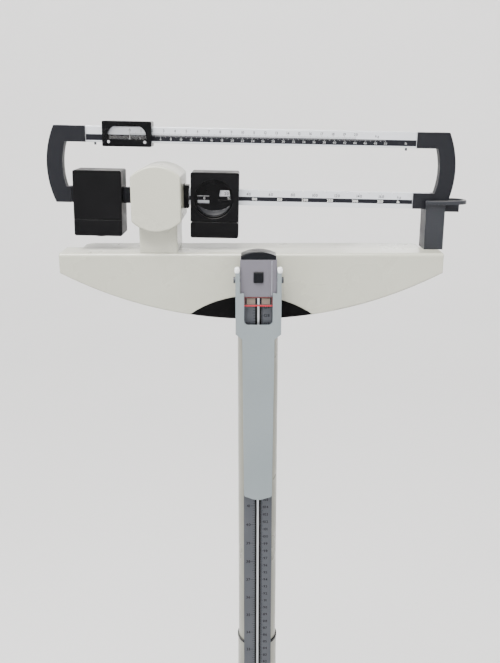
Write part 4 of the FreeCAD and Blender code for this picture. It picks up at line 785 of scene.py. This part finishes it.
# %% Dress the CAD parts
TRAYS = {
    cream: ["head_front_shell", "head_rear_cover"],
    tower_cream: ["tower_neck", "tower_front_housing", "tower_rear_housing"],
    column_painted_shade_enamel: ["lower_column", "upper_column", "column_socket"],
    base_cream: ["platform_plate", "rear_deck_cover"],
    poise_black: ["coarse_poise", "coarse_poise_base", "balance_weight", "balance_screw", "fulcrum_block"],
    dial_black: ["coarse_dial", "fine_poise"],
    yoke_black: ["left_yoke", "right_yoke"],
    catch_grey: ["catch_post", "catch_loop"],
    cap_black: ["rod_cap", "slider_button", "column_ring"],
    recess_black: ["recess_plate", "rod_saddles"],
    slider_grey: ["slider_body"],
    tongue_white: ["tongue"],
    frame_red: ["reading_frame"],
    bar_metal: ["upper_bar", "lower_bar"],
    rod_metal: ["rod_outer", "tongue_pins", "stop_pins"],
    inner_rod_painted_shade_metal: ["rod_inner"],
    bright_steel: [
        "fine_poise_screws", "socket_bolts", "cover_screws", "castor_axles", "link_stirrup",
        "draft_rod", "castor_brackets",
    ],
    knife_steel: [
        "beam_knives", "long_lever_knives", "short_lever_knives", "fulcrum_bearings", "coarse_pawl",
    ],
    base_casting: ["base_frame", "lever_stands", "head_frame"],
    lever_casting: ["long_lever", "short_lever", "transfer_lever", "platform_posts"],
    mat_rubber: ["platform_mat"],
    wheel_rubber: ["rubber_pads", "castor_wheel_left", "castor_wheel_right"],
    clear: ["fine_index"],
}
for material, names in TRAYS.items():
    for name in names:
        for holder in frame["nodes"][name].material_slots:
            holder.material = material
dressed = {name for names in TRAYS.values() for name in names}
print(
    "dressed", len(dressed), "of", len(frame["nodes"]), "parts; missed:",
    set(frame["nodes"]) - dressed,
)

# %% [markdown]
# ## A way to print on a surface
# Printed scales are thin layers of ink. Here each layer is a real plate a few hundredths of
# a millimetre thick, so it has an edge and survives export. A place function turns positions
# along, out of and up the surface into the model's frame, so the same code prints on the
# tilted beam and on the upright rod.

# %% Helpers for printed plates


def box_of(mesh, place, low, high):
    """A thin block between two corners, given in the surface's own directions."""
    corners = [
        mesh.verts.new(place(along, out, up))
        for along in (low[0], high[0])
        for out in (low[1], high[1])
        for up in (low[2], high[2])
    ]
    for loop in ((0, 1, 3, 2), (4, 6, 7, 5), (0, 4, 5, 1), (2, 3, 7, 6), (0, 2, 6, 4), (1, 5, 7, 3)):
        mesh.faces.new([corners[index] for index in loop])


GLYPHS = {}


def glyph(character):
    """One letter or digit as a thin solid: its points, its faces and its width."""
    if character not in GLYPHS:
        outline = bpy.data.curves.new("glyph", "FONT")
        outline.body = character
        outline.size = 1.0
        outline.resolution_u = 2
        outline.extrude = 0.012
        outline.offset = 0.018
        holder = bpy.data.objects.new("glyph", outline)
        solid = bpy.data.meshes.new_from_object(holder)
        points = [vertex.co.copy() for vertex in solid.vertices]
        faces = [tuple(face.vertices) for face in solid.polygons]
        left = min(point.x for point in points)
        right = max(point.x for point in points)
        GLYPHS[character] = ([point - Vector((left, 0, 0)) for point in points], faces, right - left)
        bpy.data.meshes.remove(solid)
        bpy.data.objects.remove(holder)
        bpy.data.curves.remove(outline)
    return GLYPHS[character]


CAP_HEIGHT = 0.70
LETTER_GAP = 0.09


def print_words(mesh, place, words, middle, foot, height, front):
    """Print a word centred on middle, standing on foot, as high as height."""
    size = height / CAP_HEIGHT
    drawn = [glyph(character) for character in words]
    total = sum(width for _, _, width in drawn) + LETTER_GAP * (len(drawn) - 1)
    start = middle - total * size / 2
    for points, faces, width in drawn:
        made = [
            mesh.verts.new(place(start + point.x * size, front - point.z * size, foot + point.y * size))
            for point in points
        ]
        for face in faces:
            try:
                mesh.faces.new([made[index] for index in face])
            except ValueError:
                continue
        start += (width + LETTER_GAP) * size


def finished_piece(name, mesh, material, body):
    """Turn a bmesh into an object of the model: clean, coloured and riding on its body."""
    bmesh.ops.recalc_face_normals(mesh, faces=mesh.faces)
    data = bpy.data.meshes.new(name)
    mesh.to_mesh(data)
    mesh.free()
    data.materials.append(material)
    piece = bpy.data.objects.new(name, data)
    bpy.context.collection.objects.link(piece)
    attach(piece, body)
    print(name, "rides on", body, "with", len(data.polygons), "faces")
    return piece


JOINTS = {joint["name"]: joint for joint in frame["joints"]}
fulcrum = Vector(JOINTS["beam_tilt"]["pos_m"])
beam_along = Vector(JOINTS["coarse_slide"]["axis"])
beam_back = Vector((0, 1, 0))
beam_up = beam_along.cross(beam_back)


def on_beam(along, out, up):
    """A place on the tilted beam: millimetres along it, behind its middle, and above the fulcrum."""
    return fulcrum + (beam_along * along + beam_back * out + beam_up * up) * MM


print("beam leans", round(math.degrees(math.asin(-beam_along.z)), 2), "degrees")

# %% [markdown]
# ## The upper bar's scale
# The upper bar reads small steps. Its top half is bare metal with grey kilogram numbers,
# and below that runs a black band with white pound numbers. The black band is one thin
# plate; the marks are thin blocks, longer at every whole and half step.

# %% Print the upper bar
BAR_FRONT = -4.0
INK = 0.08
UPPER_MIDDLE = 68.5
FINE_ZERO = -33.7
FINE_KG = 12.85
FINE_LB = 5.828
BAND_TOP, BAND_LOW = UPPER_MIDDLE - 0.2, UPPER_MIDDLE - 6.9

band = bmesh.new()
box_of(band, on_beam, (-83.8, BAR_FRONT - INK, BAND_LOW), (292.9, BAR_FRONT + 0.02, BAND_TOP))
finished_piece("upper_scale_band", band, band_black, "beam")


def print_marks(mesh, start, step, count, front, foot, direction, lengths, thick):
    """A row of marks; lengths gives (every so many marks, length), longest first."""
    for number in range(count + 1):
        tall = next(length for every, length in lengths if number % every == 0)
        middle = start + step * number
        low, high = sorted((foot, foot + direction * tall))
        box_of(
            mesh, on_beam, (middle - thick / 2, front - 0.05, low),
            (middle + thick / 2, front + 0.02, high),
        )


kilograms = bmesh.new()
print_marks(
    kilograms, FINE_ZERO, FINE_KG / 10, 200, BAR_FRONT, BAND_TOP, 1, [(10, 3.0), (5, 2.5), (1, 1.9)],
    0.34,
)
for number in range(21):
    print_words(
        kilograms, on_beam, str(number), FINE_ZERO + FINE_KG * number, BAND_TOP + 3.6, 3.0,
        BAR_FRONT - 0.02,
    )
print_words(kilograms, on_beam, "kg", FINE_ZERO + FINE_KG * 21.9, BAND_TOP + 2.4, 2.8, BAR_FRONT - 0.02)
finished_piece("upper_scale_kilograms", kilograms, grey_ink, "beam")

pounds = bmesh.new()
PRINTED = BAR_FRONT - INK
print_marks(
    pounds, FINE_ZERO, FINE_LB / 4, 200, PRINTED, BAND_TOP - 0.3, -1, [(8, 2.4), (4, 2.0), (1, 1.3)],
    0.32,
)
for number in range(0, 51, 2):
    print_words(
        pounds, on_beam, str(number), FINE_ZERO + FINE_LB * number, BAND_TOP - 5.6, 2.5,
        PRINTED - 0.02,
    )
print_words(pounds, on_beam, "lb", FINE_ZERO + FINE_LB * 54, BAND_TOP - 5.0, 2.6, PRINTED - 0.02)
finished_piece("upper_scale_pounds", pounds, pound_ink, "beam")

# %% [markdown]
# ## The lower bar's scale
# The lower bar carries the large poise, which clicks from notch to notch. Its numbers are
# far apart: grey kilograms on the metal above a narrow black band with white pounds.

# %% Print the lower bar
COARSE_ZERO = 51.3
COARSE_KG = 1.285
COARSE_LB = 0.584
LOW_BAND_TOP, LOW_BAND_FOOT = 0.9, -3.9

band = bmesh.new()
box_of(band, on_beam, (33.6, BAR_FRONT - INK, LOW_BAND_FOOT), (292.9, BAR_FRONT + 0.02, LOW_BAND_TOP))
finished_piece("lower_scale_band", band, band_black, "beam")

kilograms = bmesh.new()
for number in range(0, 161, 20):
    middle = COARSE_ZERO + COARSE_KG * number
    print_words(kilograms, on_beam, str(number), middle, LOW_BAND_TOP + 1.4, 3.4, BAR_FRONT - 0.02)
    box_of(
        kilograms, on_beam, (middle - 0.14, BAR_FRONT - 0.05, 5.9),
        (middle + 0.14, BAR_FRONT + 0.02, 7.3),
    )
print_words(
    kilograms, on_beam, "kg", COARSE_ZERO + COARSE_KG * 176, LOW_BAND_TOP + 1.4, 2.9, BAR_FRONT - 0.02
)
finished_piece("lower_scale_kilograms", kilograms, grey_ink, "beam")

pounds = bmesh.new()
for number in range(0, 351, 50):
    print_words(
        pounds, on_beam, str(number), COARSE_ZERO + COARSE_LB * number, LOW_BAND_FOOT + 0.8, 3.1,
        PRINTED - 0.02,
    )
print_words(
    pounds, on_beam, "lb", COARSE_ZERO + COARSE_LB * 386, LOW_BAND_FOOT + 0.8, 3.0, PRINTED - 0.02
)
finished_piece("lower_scale_pounds", pounds, white_ink, "beam")

# %% [markdown]
# ## Small trim on the poises
# The small poise is read through clear acrylic with engraved hairlines. The large poise has
# a hollow dial: a thin wire crosses its left window, and a smooth crescent fills the lower
# corner of the hollow, which is where the dial shines.

# %% Engrave the hairlines and stretch the wire
index_front = (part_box("fine_index")[0].y - fulcrum.y) / MM
hairs = bmesh.new()
box_of(
    hairs, on_beam, (FINE_ZERO - 0.12, index_front - 0.06, 63.5),
    (FINE_ZERO + 0.12, index_front + 0.02, 73.4),
)
box_of(
    hairs, on_beam, (FINE_ZERO - 15.0, index_front - 0.06, 61.8),
    (FINE_ZERO + 15.0, index_front + 0.02, 62.1),
)
finished_piece("index_hairlines", hairs, white_ink, "fine_poise")

dial_low, dial_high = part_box("coarse_dial")
dial_middle = (dial_low + dial_high) / 2
dial_along = (dial_middle - fulcrum).dot(beam_along) / MM
dial_up = (dial_middle - fulcrum).dot(beam_up) / MM
DISH_RADIUS = 20.25
DISH_FLOOR = -9.95
WIRE_LEFT, WIRE_RIGHT = dial_along - 19.1, dial_along - 5.3
wire = bmesh.new()
box_of(wire, on_beam, (WIRE_LEFT, DISH_FLOOR + 0.2, 1.25), (WIRE_RIGHT, DISH_FLOOR + 0.5, 1.6))
finished_piece("dial_wire", wire, bright_steel, "coarse_poise")

# %% [markdown]
# The crescent is a row of curved sections round the dish. Each section starts flat on the
# floor and climbs the wall, and the sections swell towards the middle of the row.

# %% Turn the dial's crescent
CRESCENT_STEPS = 40
CRESCENT_CURVE = 8
CRESCENT_WIDTH, CRESCENT_DEPTH = 6.4, 3.6
CRESCENT_START, CRESCENT_SWEEP = 205, 130
crescent = bmesh.new()
sections = []
for step in range(CRESCENT_STEPS + 1):
    share = step / CRESCENT_STEPS
    angle = math.radians(CRESCENT_START + CRESCENT_SWEEP * share)
    swell = 0.06 + 0.94 * math.sin(math.pi * share) ** 0.8
    outline = [(DISH_RADIUS, DISH_FLOOR)]
    for part in range(CRESCENT_CURVE + 1):
        turn = math.radians(90) * part / CRESCENT_CURVE
        inwards = CRESCENT_WIDTH * swell * math.sin(turn)
        forwards = CRESCENT_DEPTH * swell * (1 - math.sin(turn)) ** 1.5
        outline.append((DISH_RADIUS - inwards, DISH_FLOOR - 0.03 - forwards))
    along, up = math.cos(angle), math.sin(angle)
    sections.append([
        crescent.verts.new(on_beam(dial_along + radius * along, out, dial_up + radius * up))
        for radius, out in outline
    ])
for before, after in zip(sections, sections[1:]):
    bridge(crescent, before, after)
for end in (sections[0], sections[-1]):
    crescent.faces.new(end)
for face in crescent.faces:
    face.smooth = len(face.verts) == 4
finished_piece("dial_crescent", crescent, yoke_black, "coarse_poise")

# %% [markdown]
# ## The height rod's scale
# The rod is read by the red frame as the slider moves. Inches are on the left and
# centimetres on the right, with marks along both sides of the middle groove. The numbers
# count the height above the mat, so they start from the mat's top.

# %% Print the height rod
rod_low, rod_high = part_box("rod_outer")
ROD_FRONT = rod_low.y / MM
ROD_ZERO = 64.0
GROOVE = 3.6


def on_rod(along, out, up):
    """A place on the upright rod, in millimetres from the floor and the rod's middle."""
    return Vector((along, out, up)) * MM


def rod_mark(mesh, near, far, height, thick):
    left, right = sorted((near, far))
    box_of(
        mesh, on_rod, (left, ROD_FRONT - 0.05, height - thick / 2),
        (right, ROD_FRONT + 0.02, height + thick / 2),
    )


rod_scale = bmesh.new()
first, last = rod_low.z / MM + 4, rod_high.z / MM - 4
for centimetre in range(math.ceil((first - ROD_ZERO) / 10), math.floor((last - ROD_ZERO) / 10) + 1):
    height = ROD_ZERO + 10 * centimetre
    rod_mark(rod_scale, GROOVE, GROOVE + 3.2, height, 0.42)
    for tenth in range(1, 10):
        if height + tenth < last:
            rod_mark(rod_scale, GROOVE, GROOVE + (2.4 if tenth == 5 else 1.7), height + tenth, 0.34)
    print_words(rod_scale, on_rod, str(centimetre), 9.6, height - 1.7, 3.4, ROD_FRONT - 0.02)
for inch in range(math.ceil((first - ROD_ZERO) / 25.4), math.floor((last - ROD_ZERO) / 25.4) + 1):
    height = ROD_ZERO + 25.4 * inch
    rod_mark(rod_scale, -GROOVE, -GROOVE - 5.4, height, 0.42)
    for eighth in range(1, 8):
        if height + eighth * 3.175 < last:
            rod_mark(
                rod_scale, -GROOVE, -GROOVE - (3.2 if eighth == 4 else 2.2), height + eighth * 3.175,
                0.38,
            )
    print_words(rod_scale, on_rod, str(inch), -11.6, height - 1.8, 3.6, ROD_FRONT - 0.02)
finished_piece("rod_scale", rod_scale, dark_ink, "stand")

# %% [markdown]
# ## The reading frame
# The slider's dark red frame has two beige panes, black bars beside them, a light strip down
# the middle and a bright red line along its lower edge, where the height is read. Each is a
# thin plate set into the frame or laid on it.

# %% Glaze the reading frame
frame_low, frame_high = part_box("reading_frame")
pane_front = frame_low.y / MM + 1.2
inner_low, inner_high = frame_low.z / MM + 2.1, frame_high.z / MM - 1.7
half_frame = frame_high.x / MM

panes = bmesh.new()
for side in (-1, 1):
    left, right = sorted((side * 3.6, side * (half_frame - 2.0)))
    box_of(panes, on_rod, (left, pane_front - 0.4, inner_low), (right, pane_front - 0.02, inner_high))
finished_piece("reading_panes", panes, beige_pane, "slider")

bars = bmesh.new()
for left, right in (
    (-3.55, -1.1), (1.1, 3.55), (-half_frame + 1.85, -half_frame + 3.2),
    (half_frame - 3.2, half_frame - 1.85)
):
    box_of(bars, on_rod, (left, pane_front - 0.46, inner_low), (right, pane_front - 0.02, inner_high))
finished_piece("reading_bars", bars, band_black, "slider")

middle_strip = bmesh.new()
box_of(
    middle_strip, on_rod, (-1.15, frame_low.y / MM - 0.08, inner_low), (1.15, pane_front, inner_high)
)
finished_piece("reading_strip", middle_strip, strip_light, "slider")

line = bmesh.new()
box_of(
    line, on_rod,
    (-half_frame + 0.1, frame_low.y / MM - 0.12, frame_low.z / MM + 0.1),
    (half_frame - 0.1, frame_low.y / MM + 0.3, frame_low.z / MM + 1.1),
)
finished_piece("reading_line", line, red_ink, "slider")

# %% [markdown]
# ## The slider's ridge and the tongue's knobs
# A narrow ridge runs down the slider beside the button, and each arm of the tongue ends in a
# small rounded knob for the fingers. The knobs start as plain blocks and are rounded with
# bevels, like filing the corners off.

# %% Add the ridge and the knobs
SLIDER_FRONT = 127.5
RIDGE_LOW, RIDGE_HIGH = 1368.4, 1407.4
ridge = bmesh.new()
# The ridge is a real raised strip, coloured with the lighter grey of a painted highlight.
box_of(ridge, on_rod, (13.7, SLIDER_FRONT - 0.35, RIDGE_LOW), (15.4, SLIDER_FRONT + 0.3, RIDGE_HIGH))
finished_piece("slider_ridge", ridge, ridge_painted_highlight_grey, "slider")

arm_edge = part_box("tongue")[1].x / MM
KNOB_FRONT, KNOB_BACK = 122.3, 129.5
KNOB_LOW, KNOB_TOP = 1393.4, 1400.8
KNOB_ROUNDING = 2.2
knobs = bmesh.new()
for side in (-1, 1):
    near, far = sorted((side * (arm_edge - 4.9), side * (arm_edge + 1.0)))
    box_of(knobs, on_rod, (near, KNOB_FRONT, KNOB_LOW), (far, KNOB_BACK, KNOB_TOP))
rim = list(knobs.edges)
bmesh.ops.bevel(knobs, geom=rim, offset=KNOB_ROUNDING * MM, segments=5, profile=0.5, affect="EDGES")
for face in knobs.faces:
    face.smooth = True
finished_piece("tongue_knobs", knobs, knob_white, "tongue")
